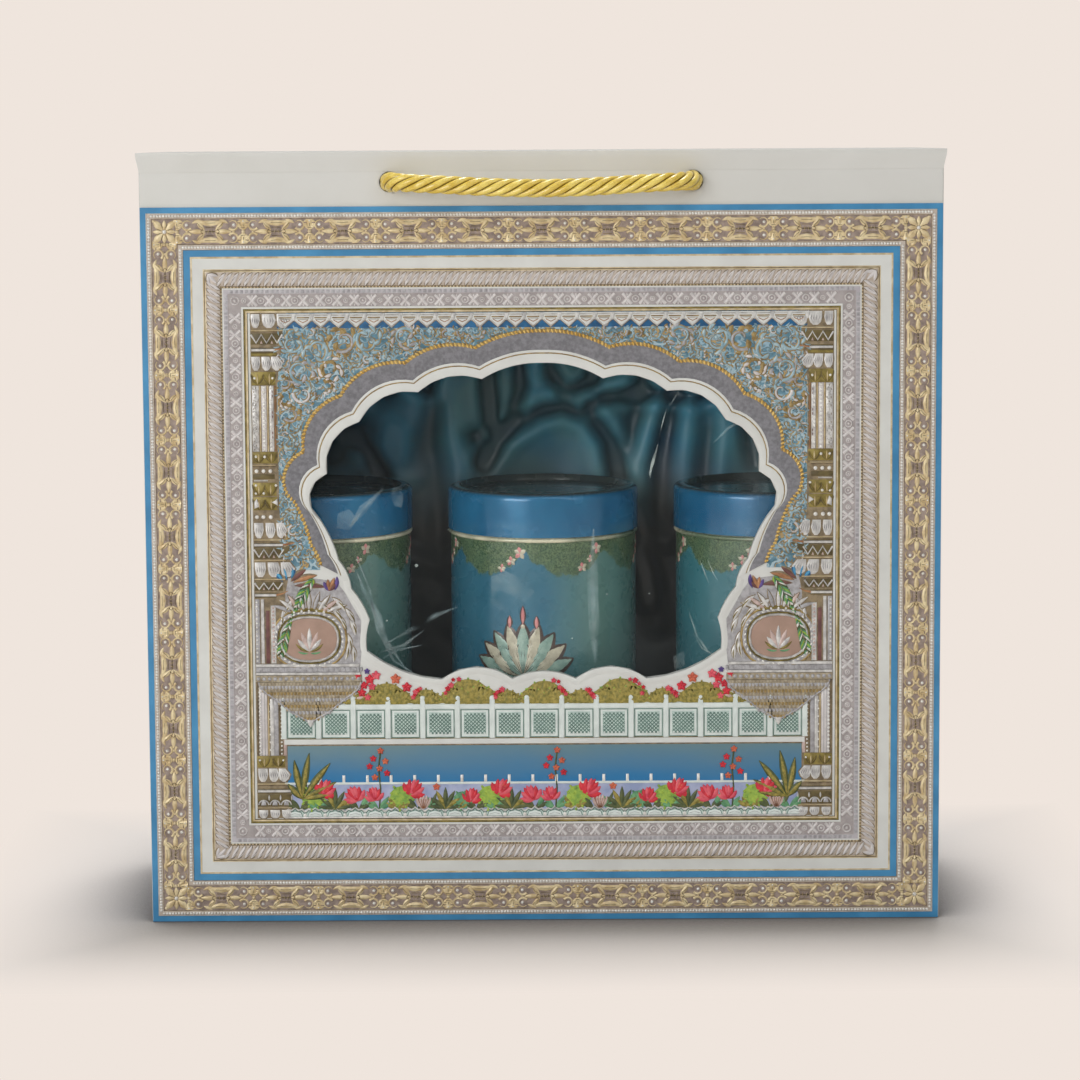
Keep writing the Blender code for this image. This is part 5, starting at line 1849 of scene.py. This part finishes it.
def make_satin_finish():
    nodes = Nodes("teal_satin")
    nodes.set(Sheen_Weight=0.35, Sheen_Roughness=0.4, Sheen_Tint=(110, 180, 200),
              Specular_IOR_Level=0.4)
    _, y, z = nodes.axes()
    run = SATIN_FRONT - SATIN_BACK
    # Painted shade and light: the cloth is darker where it lies back in the folds and lighter on
    # crests that stand forward.
    painted_fold_light_share = nodes.ramp_between(y, SATIN_BACK + VALLEY_SHARE * run,
                                      SATIN_BACK + CREST_SHARE * run)
    mottled = nodes.ramp_between(nodes.noise(22, 4.0), 0.4, 0.6)
    shaded_valley = nodes.mix(mottled, (22, 62, 84), (42, 80, 86))
    lit_crest = nodes.mix(mottled, (78, 160, 192), (104, 174, 184))
    # Painted shade: low down, behind and between the tins, the cloth turns grey-brown in place of
    # teal.
    low = nodes.ramp_between(z, 0.138, 0.174, 1.0, 0.0)
    nodes.colour(nodes.mix(low, nodes.mix(painted_fold_light_share, shaded_valley, lit_crest), (110, 104, 98)))
    nodes.rough(nodes.noise(40, 2.0), 0.28, 0.4)
    nodes.bump(nodes.noise(1800, 2.0, (1.0, 1.0, 0.25)), 0.12, 0.0002)
    return nodes.material


def make_satin():
    columns = 230
    rows = 170
    height = SATIN_HIGH - SATIN_LOW
    points = []
    for row in range(rows + 1):
        for column in range(columns + 1):
            x = (2 * (column / columns) - 1) * SATIN_HALF
            z = SATIN_LOW + row / rows * height
            depth = satin_depth(x / MM, z / MM)
            points.append((x, SATIN_BACK + depth * (SATIN_FRONT - SATIN_BACK), z))
    wide = columns + 1
    faces = [(r * wide + c, r * wide + c + 1, (r + 1) * wide + c + 1, (r + 1) * wide + c)
             for r in range(rows) for c in range(columns)]
    mesh = bpy.data.meshes.new("satin_cloth")
    mesh.from_pydata(points, [], faces)
    mesh.shade_smooth()
    cloth = link("satin_cloth", mesh, make_satin_finish(), "box")
    solid = cloth.modifiers.new("thickness", "SOLIDIFY")
    solid.thickness = SATIN_THICKNESS
    solid.offset = 0
    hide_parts("satin_liner")


make_foam()
make_film()
make_film_marks()
make_satin()


# The tins

def make_tin_lid():
    nodes = Nodes("blue_enamel")
    nodes.set(Metallic=0.2, Coat_Weight=0.45, Coat_Roughness=0.05)
    clouds = nodes.noise(40, 3.0)
    band = nodes.mix(nodes.ramp_between(clouds, 0.35, 0.65), (18, 94, 136), (34, 116, 156))
    facing = nodes.node("SeparateXYZ", nodes.node("NewGeometry").outputs["Normal"])
    place = nodes.axes()
    x = nodes.math("WRAP", place[0], TIN_PITCH / 2, -TIN_PITCH / 2)
    y = nodes.math("SUBTRACT", place[1], TIN_Y)
    reach = nodes.math("SQRT", nodes.math("ADD", nodes.math("MULTIPLY", x, x),
                                          nodes.math("MULTIPLY", y, y)))
    # Painted reflection: where the lid's top faces up or lies inside its shoulder, it is painted
    # dark blue-brown in place of the blue band.
    painted_dark_top = nodes.math("MAXIMUM", nodes.ramp_between(facing.outputs["Z"], 0.55, 0.9),
                        nodes.math("LESS_THAN", reach, LID_OUTER_RADIUS - LID_ROUND))
    nodes.colour(nodes.mix(painted_dark_top, band, nodes.mix(clouds, (40, 64, 74), (84, 82, 66))))
    nodes.rough(nodes.noise(120, 3.0), 0.2, 0.3)
    nodes.bump(nodes.noise(60, 2.0), 0.08, 0.001)
    return nodes.material


TURNED_STEPS = 128


def lathe(name, profile, centre_x, material, body, ring_shaped):
    """A turned piece from (radius, height) points; ring_shaped profiles close on themselves."""
    points = []
    faces = []
    starts = []
    for radius, height in profile:
        starts.append((len(points), radius > 0))
        points += [(x, y, TIN_FLOOR + height) for x, y in
                   circle(centre_x, TIN_Y, radius, TURNED_STEPS if radius > 0 else 1)]
    pairs = list(zip(starts, starts[1:] + starts[:ring_shaped]))
    for (a, a_wide), (b, b_wide) in pairs:
        if a_wide and b_wide:
            faces += wall(a, b, TURNED_STEPS)
        elif a_wide or b_wide:
            wide, point = (a, b) if a_wide else (b, a)
            faces += [(wide + k, wide + (k + 1) % TURNED_STEPS, point)
                      for k in range(TURNED_STEPS)]
    return link(name, mesh_of(name, points, faces, 35), material, body)


def lid_profile():
    skirt = TIN_HEIGHT - LID_SKIRT_HEIGHT
    panel = TIN_HEIGHT - LID_PANEL_DEPTH
    turns = [pi / 2 * step / 8 for step in range(9)]
    shoulder = [(LID_OUTER_RADIUS - LID_ROUND * (1 - cos(turn)),
                 TIN_HEIGHT - LID_ROUND * (1 - sin(turn))) for turn in turns]
    rim = LID_OUTER_RADIUS - LID_RIM_WIDTH
    ease = LID_WALL / 3
    return [(0, panel - LID_WALL), (LID_INNER_RADIUS, panel - LID_WALL),
            (LID_INNER_RADIUS, skirt + ease), (LID_INNER_RADIUS + ease, skirt),
            (LID_OUTER_RADIUS - ease, skirt), (LID_OUTER_RADIUS, skirt + ease), *shoulder,
            (rim, TIN_HEIGHT), (rim - ease, TIN_HEIGHT - ease), (rim - LID_RIM_SLOPE, panel),
            (0, panel)]


def body_profile():
    inside = TIN_RADIUS - TIN_WALL
    bottom = BASE_SEAM_HEIGHT + SEAM
    top = TIN_HEIGHT - LID_PANEL_DEPTH - LID_WALL - SEAM
    bead_top = TIN_HEIGHT - LID_SKIRT_HEIGHT - SEAM
    half = BEAD_HEIGHT / 2
    turns = [pi * step / 8 for step in range(9)]
    bead = [(TIN_RADIUS + BEAD_WIDTH * sin(turn), bead_top - half - half * cos(turn))
            for turn in turns]
    return [(TIN_RADIUS, bottom), *bead, (TIN_RADIUS, top), (inside, top), (inside, bottom)]


def make_tinplate():
    nodes = Nodes("bare_tinplate")
    nodes.set(Metallic=1.0)
    nodes.colour(nodes.mix(nodes.noise(300, 3.0, (1, 1, 6)), (186, 180, 160), (214, 208, 190)))
    nodes.rough(nodes.noise(500, 3.0, (1, 1, 8)), 0.22, 0.38)
    nodes.bump(nodes.noise(900, 2.0, (1, 1, 10)), 0.08, 0.0002)
    return nodes.material


# Where the bead under the lid starts and ends, in metres; its bright patches are painted glints,
# and bare metal is above it
TIN_BEAD = (0.1436, 0.1453)
SWAG_HEIGHT = 0.1405


def make_tin_print(name, centre_x, upper, lower):
    """Glossy print round a tin: a teal ground with two painted highlight bands round it, a leafy
    swag under the lid and a bead with painted glints.
    """
    nodes = Nodes(name)
    nodes.set(Metallic=0.15, Coat_Weight=0.45, Coat_Roughness=0.08)
    place = nodes.axes()
    z = place[2]
    turn = nodes.math("ARCTAN2", nodes.math("SUBTRACT", place[0], centre_x),
                      nodes.math("SUBTRACT", TIN_Y, place[1]))

    def wave(rate, shift=0.0):
        return nodes.math("SINE", nodes.math("MULTIPLY_ADD", turn, rate, shift))

    def patches(scale, detail, low, high, most=1.0):
        return nodes.ramp_between(nodes.noise(scale, detail), low, high, 0.0, most)

    ground = nodes.mix(nodes.ramp_between(z, 0.04, 0.13), lower, upper)
    ground = nodes.mix(patches(45, 4.0, 0.35, 0.65, 0.35), ground, (58, 118, 132))
    # Painted highlight: two lighter green bands round the tin stand in for light on its curve.
    ground = nodes.mix(nodes.ramp_between(wave(2.0, -0.2), -0.2, 0.9, 0.0, 0.75), ground,
                       (108, 146, 130))
    edge = nodes.math("MULTIPLY_ADD", nodes.math("ABSOLUTE", wave(3.5, 0.69)), -0.0090,
                      SWAG_HEIGHT)
    edge = nodes.math("MULTIPLY_ADD", nodes.math("ABSOLUTE", wave(15.0)), -0.0012, edge)
    leafy = nodes.math("MULTIPLY_ADD", nodes.noise(380, 3.0), 0.0052, -0.0026)
    in_swag = nodes.ramp_between(nodes.math("SUBTRACT", z, nodes.math("ADD", edge, leafy)),
                                 -0.0004, 0.0005)
    green = nodes.mix(patches(1500, 3.0, 0.42, 0.60), (52, 80, 52), (116, 136, 98))
    green = nodes.mix(patches(260, 2.0, 0.35, 0.65, 0.45), green, (64, 98, 76))
    in_bead = nodes.math("MULTIPLY", nodes.math("GREATER_THAN", z, TIN_BEAD[0]),
                         nodes.math("LESS_THAN", z, TIN_BEAD[1]))
    # Painted glints: the bead is dark olive with bright cream patches for its shine.
    bead = nodes.mix(patches(26, 2.0, 0.44, 0.58), (108, 124, 96), (236, 230, 200))
    tone = nodes.mix(in_bead, nodes.mix(in_swag, ground, green), bead)
    nodes.colour(nodes.mix(nodes.math("GREATER_THAN", z, TIN_BEAD[1]), tone, (178, 175, 164)))
    nodes.rough(nodes.noise(150, 3.0), 0.22, 0.36)
    nodes.bump(nodes.noise(700, 2.0), 0.04, 0.0003)
    return nodes.material


DECAL_TONES = {
    "mint": ((158, 186, 172), (126, 158, 146)),
    "brown": ((84, 66, 56), (58, 46, 42)),
    "ivory": ((206, 202, 178), (176, 170, 148)),
    "pink": ((222, 158, 152), (196, 118, 120)),
    "green": ((96, 128, 92), (64, 96, 70)),
}


def round_tin(centre_x):
    """Wraps a flat drawing, in millimetres from the tin's front, round the tin."""
    def to_world(x, z, up):
        turn = x * MM / TIN_RADIUS
        radius = TIN_RADIUS + (0.03 + up) * MM
        return centre_x + radius * sin(turn), TIN_Y - radius * cos(turn), z * MM
    return to_world


def make_medallion(groups, middle, z):
    """A ribbed lotus of generic design, its foot at that place round the tin."""
    put = placer(middle, z)
    for row, (count, spread, reach, wide) in enumerate(((9, 1.36, 19.6, 7.6), (7, 1.15, 15.0, 6.8),
                                                        (5, 0.9, 9.8, 5.4))):
        for k in sorted(range(count), key=lambda k: -abs(k - (count - 1) / 2)):
            share = 2 * k / (count - 1) - 1
            angle = pi / 2 - share * spread
            low = 0.16 + 0.09 * row + 0.03 * (1 - abs(share))
            bend = share * 0.22
            groups["brown"].leaf(put, 0, 0, angle, reach * 1.05, wide * 1.22, low, bend, 9)
            tone = ("mint", "ivory")[(k + row) % 2]
            groups[tone].leaf(put, 0, 0, angle, reach, wide, low + 0.06, bend, 9)
            for lean in (-0.13, 0.13):
                groups["brown"].leaf(put, 0, 0, angle + lean, reach * 0.78, 0.5, low + 0.1,
                                     bend - lean * 1.6, 6)
    for lean, length in ((0.0, 6.8), (0.42, 4.8), (-0.42, 4.8)):
        stem = placer(middle - 13.0 * sin(lean), z + 19.4 - abs(lean) * 4)
        groups["brown"].leaf(stem, 0, 0, pi / 2, length * 1.1, 2.7, 0.2, 0, 6)
        groups["pink"].leaf(stem, 0, 0.2, pi / 2, length, 1.9, 0.3, 0, 6)
        groups["ivory"].bead(stem, 0, -0.6, 0.9, 0.3, 8)
    groups["brown"].slab(put, -15.0, -2.4, 15.0, 0.3, 0.3)
    groups["ivory"].slab(put, -14.6, -2.0, 14.6, -0.1, 0.4)
    for k in range(15):
        groups["brown"].bead(put, (k - 7) * 1.9, -1.05, 0.5, 0.5, 6)
    for side in (-1, 1):
        for reach, lean in ((15.0, 0.25), (11.5, 0.62), (8.0, 1.05)):
            groups["green"].leaf(put, 0, -2.4, -pi / 2 + side * (pi / 2 - lean), reach,
                                 4.2, 0.24, side * 0.3, 8)


# Blossoms on the swag, as distances round the tin from its front and heights, in millimetres
SWAG_BLOSSOMS = ((-16.6, 133.6, 1.3), (-12.6, 136.4, 1.5), (-9.0, 139.6, 1.9),
                 (15.4, 133.8, 1.5), (18.6, 137.0, 1.1), (21.6, 140.8, 1.7))
SWAG_REPEAT = 32.5
MEDALLION_HEIGHT = 92.6
# For each tin: its print's upper and lower ground, and how far its medallion is turned, in turns
TINTS = (((46, 104, 126), (42, 96, 114)), ((44, 106, 132), (46, 102, 122)),
         ((60, 124, 134), (58, 116, 124)))
TURNS = (-40.0 / 360, -12.7 / 360, 40.0 / 360)


def make_tins():
    lid_finish = make_tin_lid()
    plate = make_tinplate()
    decals = {tone: printed("decal_" + tone, light, dark, 300, (0.22, 0.34), 0.1, 0.05, coat=0.6)
              for tone, (light, dark) in DECAL_TONES.items()}
    round_about = tau * TIN_RADIUS / MM
    for index, name in enumerate(TIN_NAMES):
        centre = (index - 1) * TIN_PITCH
        body = "tin_" + name
        give("tin_base_" + name, plate)
        shell = lathe("tin_shell_" + name, body_profile(), centre,
                      make_tin_print("tin_print_" + name, centre, *TINTS[index]), body,
                      True)
        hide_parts("tin_body_" + name)
        cap = lathe("tin_cap_" + name, lid_profile(), centre, lid_finish, "tin_lid_" + name,
                    False)
        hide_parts("tin_lid_" + name)
        groups = {tone: Relief(f"tin_decal_{tone}_{name}", finish)
                  for tone, finish in decals.items()}
        for half_turn in (0.0, 0.5):
            make_medallion(groups, (TURNS[index] + half_turn) * round_about, MEDALLION_HEIGHT)
        rng = random.Random(20 + index)
        for repeat in range(-3, 4):
            for away, z, size in SWAG_BLOSSOMS[:3] if repeat % 2 else SWAG_BLOSSOMS[3:]:
                put = placer(away + (repeat - repeat % 2) * SWAG_REPEAT, z)
                for petal in range(5):
                    angle = tau * petal / 5 + rng.uniform(0, 0.9)
                    tone = groups["pink" if petal % 2 else "ivory"]
                    tone.leaf(put, 0.1 * cos(angle), 0.1 * sin(angle), angle, size * 1.25, size,
                              0.14, 0, 4)
        for relief in groups.values():
            relief.finish(body, "tin_print", 40, round_tin(centre))


make_tins()


# The ropes and their knots

def rope_route():
    half = [Vector(((1 - along) * ROPE_HOLE_HALF_SPACING, -out * ROPE_STANDOFF,
                    -down * ROPE_SAG)) for along, out, down in ROPE_ROUTE_SHARES]
    end = Vector((ROPE_HOLE_HALF_SPACING, ROPE_LEG_END, 0))
    right = [end] + half
    left = [Vector((-point.x, point.y, point.z)) for point in right[:-1]]
    return left + right[::-1]


def smooth_route(points, steps=8):
    dense = []
    for index in range(len(points) - 1):
        before = points[max(index - 1, 0)]
        start = points[index]
        end = points[index + 1]
        after = points[min(index + 2, len(points) - 1)]
        for step in range(steps):
            t = step / steps
            dense.append(start + t * (end - before) / 2
                         + t ** 2 * (before - 2.5 * start + 2 * end - after / 2)
                         + t ** 3 * (1.5 * (start - end) + (after - before) / 2))
    return dense + [points[-1]]


def spaced(points, pitch):
    """The same line with points at an even pitch."""
    placed = [points[0]]
    left = pitch
    for a, b in zip(points, points[1:]):
        length = (b - a).length
        passed = 0.0
        while length - passed >= left:
            passed += left
            placed.append(a.lerp(b, passed / length))
            left = pitch
        left -= length - passed
    if (placed[-1] - points[-1]).length > pitch / 3:
        placed.append(points[-1])
    return placed


def carried_frames(line):
    """Two directions across the line at each point, carried along it without twist."""
    frames = []
    across = Vector((0, 0, 1))
    for i in range(len(line)):
        along = (line[min(i + 1, len(line) - 1)] - line[max(i - 1, 0)]).normalized()
        across = (across - along * across.dot(along)).normalized()
        frames.append((across, along.cross(across)))
    return frames


def tube(line, radius, sides, shares=None):
    """Points and faces of a closed tube; shares scale its radius along it."""
    points = []
    for centre, (a, b), share in zip(line, carried_frames(line), shares or [1.0] * len(line)):
        for k in range(sides):
            turn = tau * k / sides
            points.append(centre + radius * share * (a * cos(turn) + b * sin(turn)))
    return points, capped(sides, len(line))


ROPE_LAY = 0.0265
STRAND_COUNT = 5
STRAND_OFFSET = 0.00222
STRAND_RADIUS = 0.00124
STRAND_SWELL = 0.12
ROPE_STEP = 0.0009
KNOT_GAP = 0.0003


def make_rope_finish():
    nodes = Nodes("gold_rayon")
    nodes.set(Sheen_Weight=0.25, Sheen_Roughness=0.25, Sheen_Tint=(255, 240, 190),
              Specular_IOR_Level=0.9, Coat_Weight=0.3, Coat_Roughness=0.2)
    threads = nodes.noise(2200, 2.0)
    patches = nodes.noise(150, 3.0)
    tone = nodes.mix(nodes.ramp_between(patches, 0.35, 0.65), (224, 190, 62), (250, 226, 112))
    tone = nodes.mix(nodes.ramp_between(threads, 0.35, 0.65, 0.0, 0.3), tone, (184, 146, 44))
    # Painted shade: the rope turns dark brown-gold where its strands crowd each other, in the
    # grooves.
    nodes.colour(nodes.mix(nodes.crowding_for_painted_shade(0.0016, 0.42, 0.86), (126, 98, 22), tone))
    nodes.rough(patches, 0.22, 0.34)
    nodes.bump(threads, 0.3, 0.0002)
    return nodes.material


def rope_strands(line, wall_y):
    """Strands laid round the line, a little fuller where the rope leaves the wall."""
    frames = carried_frames(line)
    lengths = [0.0]
    for a, b in zip(line, line[1:]):
        lengths.append(lengths[-1] + (b - a).length)
    points = []
    faces = []
    for strand in range(STRAND_COUNT):
        centres = []
        shares = []
        for passed, centre, (a, b) in zip(lengths, line, frames):
            turn = -tau * (passed / ROPE_LAY + strand / STRAND_COUNT)
            clear = min(abs(centre.y - wall_y) / ROPE_STANDOFF, 1.0)
            share = 1 + STRAND_SWELL * (1 - clear * clear * (3 - 2 * clear))
            shares.append(share)
            centres.append(centre + STRAND_OFFSET * share
                           * (a * cos(turn) + b * sin(turn)))
        made, sides = tube(centres, STRAND_RADIUS, 16, shares)
        start = len(points)
        points += made
        faces += [tuple(start + i for i in face) for face in sides]
    return points, faces


def make_ropes():
    finish = make_rope_finish()
    local = spaced(smooth_route(rope_route()), ROPE_STEP)
    length = sum((b - a).length for a, b in zip(local, local[1:]))
    for name, wall_y, outward in (("front", FRONT_Y, -1), ("back", BACK_Y, 1)):
        line = [Vector((p.x, wall_y - outward * p.y, ROPE_HOLE_Z + p.z)) for p in local]
        points, faces = rope_strands(line, wall_y)
        mesh = mesh_of(f"{name}_twisted_rope", points, faces, 60)
        rope = link(f"{name}_twisted_rope", mesh, finish, f"{name}_handle")
        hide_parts(f"{name}_rope")
        for side, word in ((-1, "left"), (1, "right")):
            inner = wall_y - outward * (ROPE_LEG_END + KNOT_GAP)
            knot = make_knot(f"{name}_tied_knot_{word}", side, inner, -outward, finish,
                             f"{name}_handle")
            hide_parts(f"{name}_knot_{word}")


HOLE_RADIUS = 0.00433
LINING_RADIUS = 0.00392
# The lining's two ends, from the wall's face
LINING_ENDS = (0.0001, 0.0021)
LINING_STEPS = 48


def make_hole_linings():
    """The wrap's paper turned into each rope hole."""
    for name, wall_y, inward in (("front", FRONT_Y, 1), ("back", BACK_Y, -1)):
        face, inner = (wall_y + inward * away for away in LINING_ENDS)
        for side, word in ((-1, "left"), (1, "right")):
            points = []
            for radius, y in ((HOLE_RADIUS, face), (LINING_RADIUS, face), (LINING_RADIUS, inner),
                              (HOLE_RADIUS, inner)):
                points += [(side * ROPE_HOLE_HALF_SPACING + x, y, ROPE_HOLE_Z + z)
                           for x, z in circle(0, 0, radius, LINING_STEPS)]
            piece = f"{name}_hole_lining_{word}"
            mesh = mesh_of(piece, points, bands(LINING_STEPS, 4, True), 40)
            link(piece, mesh, bpy.data.materials["header_wrap"], "box")


# The knot's line runs round a ring of this size, and swings out and along by these amounts
KNOT_RING = 0.0026
KNOT_SWING = 0.00115
KNOT_REACH = 0.00235
KNOT_CORD_RADIUS = 0.0019
STUB_RADIUS = 0.0030


def make_knot(name, side, start_y, inward, finish, body):
    """An overhand knot pulled tight, and the short end that comes out of it."""
    line = []
    count = 54
    for k in range(count + 1):
        t = tau * k / count
        ring_radius = KNOT_RING + KNOT_SWING * cos(3 * t)
        along = KNOT_LENGTH * 0.40 + KNOT_REACH * sin(3 * t)
        line.append(Vector((side * ROPE_HOLE_HALF_SPACING + ring_radius * cos(2 * t),
                            start_y + inward * along,
                            ROPE_HOLE_Z + ring_radius * sin(2 * t))))
    points, faces = tube(line, KNOT_CORD_RADIUS, 12)
    stub = [Vector((side * ROPE_HOLE_HALF_SPACING, start_y + inward * along, ROPE_HOLE_Z))
            for along in (0.0001, 0.0030, 0.0060, 0.0088, 0.0104, KNOT_LENGTH)]
    more, sides = tube(stub, STUB_RADIUS, 18, (1.0, 0.9, 0.85, 0.95, 1.15, 1.0))
    start = len(points)
    points = points + more
    faces = faces + [tuple(start + i for i in face) for face in sides]
    mesh = mesh_of(name, points, faces, 60)
    return link(name, mesh, finish, body)


make_ropes()
make_hole_linings()


# Stage and lights

BACKDROP = (239, 229, 221)
# The backdrop is flat up to its back, then curves up; lengths in metres
STAGE_HALF = 6.0
STAGE_BACK = 1.4
STAGE_CURVE = 1.5


def make_stage():
    """A floor that takes the shadow near the hamper, with painted shade darkening it close to the
    hamper, and fades into an even pale ground.
    """
    nodes = Nodes("pale_backdrop")
    nodes.set(Specular_IOR_Level=0.1, Roughness=0.9)
    # Painted shadow: the floor turns dark grey-brown where the hamper crowds it.
    nodes.colour(nodes.mix(nodes.crowding_for_painted_shade(0.055, 0.45, 0.96), (96, 91, 88), (234, 228, 222)))
    seen = nodes.node("Emission", BACKDROP)
    place = nodes.axes()
    beside = nodes.math("SUBTRACT", nodes.math("ABSOLUTE", place[0]), 0.15)
    before = nodes.math("SUBTRACT", nodes.math("ABSOLUTE", place[1]), 0.065)
    far = nodes.ramp_between(nodes.math("MAXIMUM", beside, before), 0.0, 0.08, 0.05, 1.0)
    rays = nodes.node("LightPath")
    share = nodes.math("MULTIPLY", far, rays.outputs["Is Camera Ray"])
    both = nodes.node("MixShader", share, nodes.shader.outputs[0], seen.outputs[0])
    nodes.feed(nodes.tree.nodes["Material Output"].inputs["Surface"], both.outputs[0])
    profile = [(-STAGE_HALF, 0.0), (STAGE_BACK, 0.0)]
    for k in range(1, 13):
        turn = pi / 2 * k / 12
        profile.append((STAGE_BACK + STAGE_CURVE * sin(turn), STAGE_CURVE * (1 - cos(turn))))
    profile.append((STAGE_BACK + STAGE_CURVE, STAGE_HALF))
    points = [(x, y, z) for y, z in profile for x in (-STAGE_HALF, STAGE_HALF)]
    faces = [(2 * k, 2 * k + 1, 2 * k + 3, 2 * k + 2) for k in range(len(profile) - 1)]
    mesh = bpy.data.meshes.new("backdrop")
    mesh.from_pydata(points, [], faces)
    mesh.shade_smooth()
    mesh.materials.append(nodes.material)
    floor = bpy.data.objects.new("backdrop", mesh)
    bpy.context.scene.collection.objects.link(floor)


def make_light(name, place, aim, size, power):
    data = bpy.data.lights.new(name, "AREA")
    data.shape = "RECTANGLE"
    data.size, data.size_y = size
    data.energy = power
    lamp = bpy.data.objects.new(name, data)
    lamp.location = place
    lamp.rotation_euler = (Vector(aim) - Vector(place)).to_track_quat("-Z", "Y").to_euler()
    bpy.context.scene.collection.objects.link(lamp)


def make_lights():
    world = bpy.data.worlds.new("studio")
    bpy.context.scene.world = world
    world.use_nodes = True
    background = world.node_tree.nodes["Background"]
    background.inputs["Color"].default_value = (0.97, 0.985, 1.0, 1)
    background.inputs["Strength"].default_value = 0.35
    make_light("left_softbox", (-0.85, -1.3, 0.55), (0, 0, 0.14), (0.8, 0.8), 9.8)
    make_light("right_softbox", (1.1, -1.5, 1.0), (0, 0, 0.12), (0.5, 0.5), 2.6)
    make_light("glint_strip", (0, -1.0, 1.3), (0, 0, 0.15), (1.3, 0.12), 1.8)
    make_light("back_softbox", (0.07, 0.34, 1.7), (0, 0, 0.1), (0.35, 0.35), 13)
    bpy.context.scene.view_settings.view_transform = "Standard"


make_stage()
make_lights()
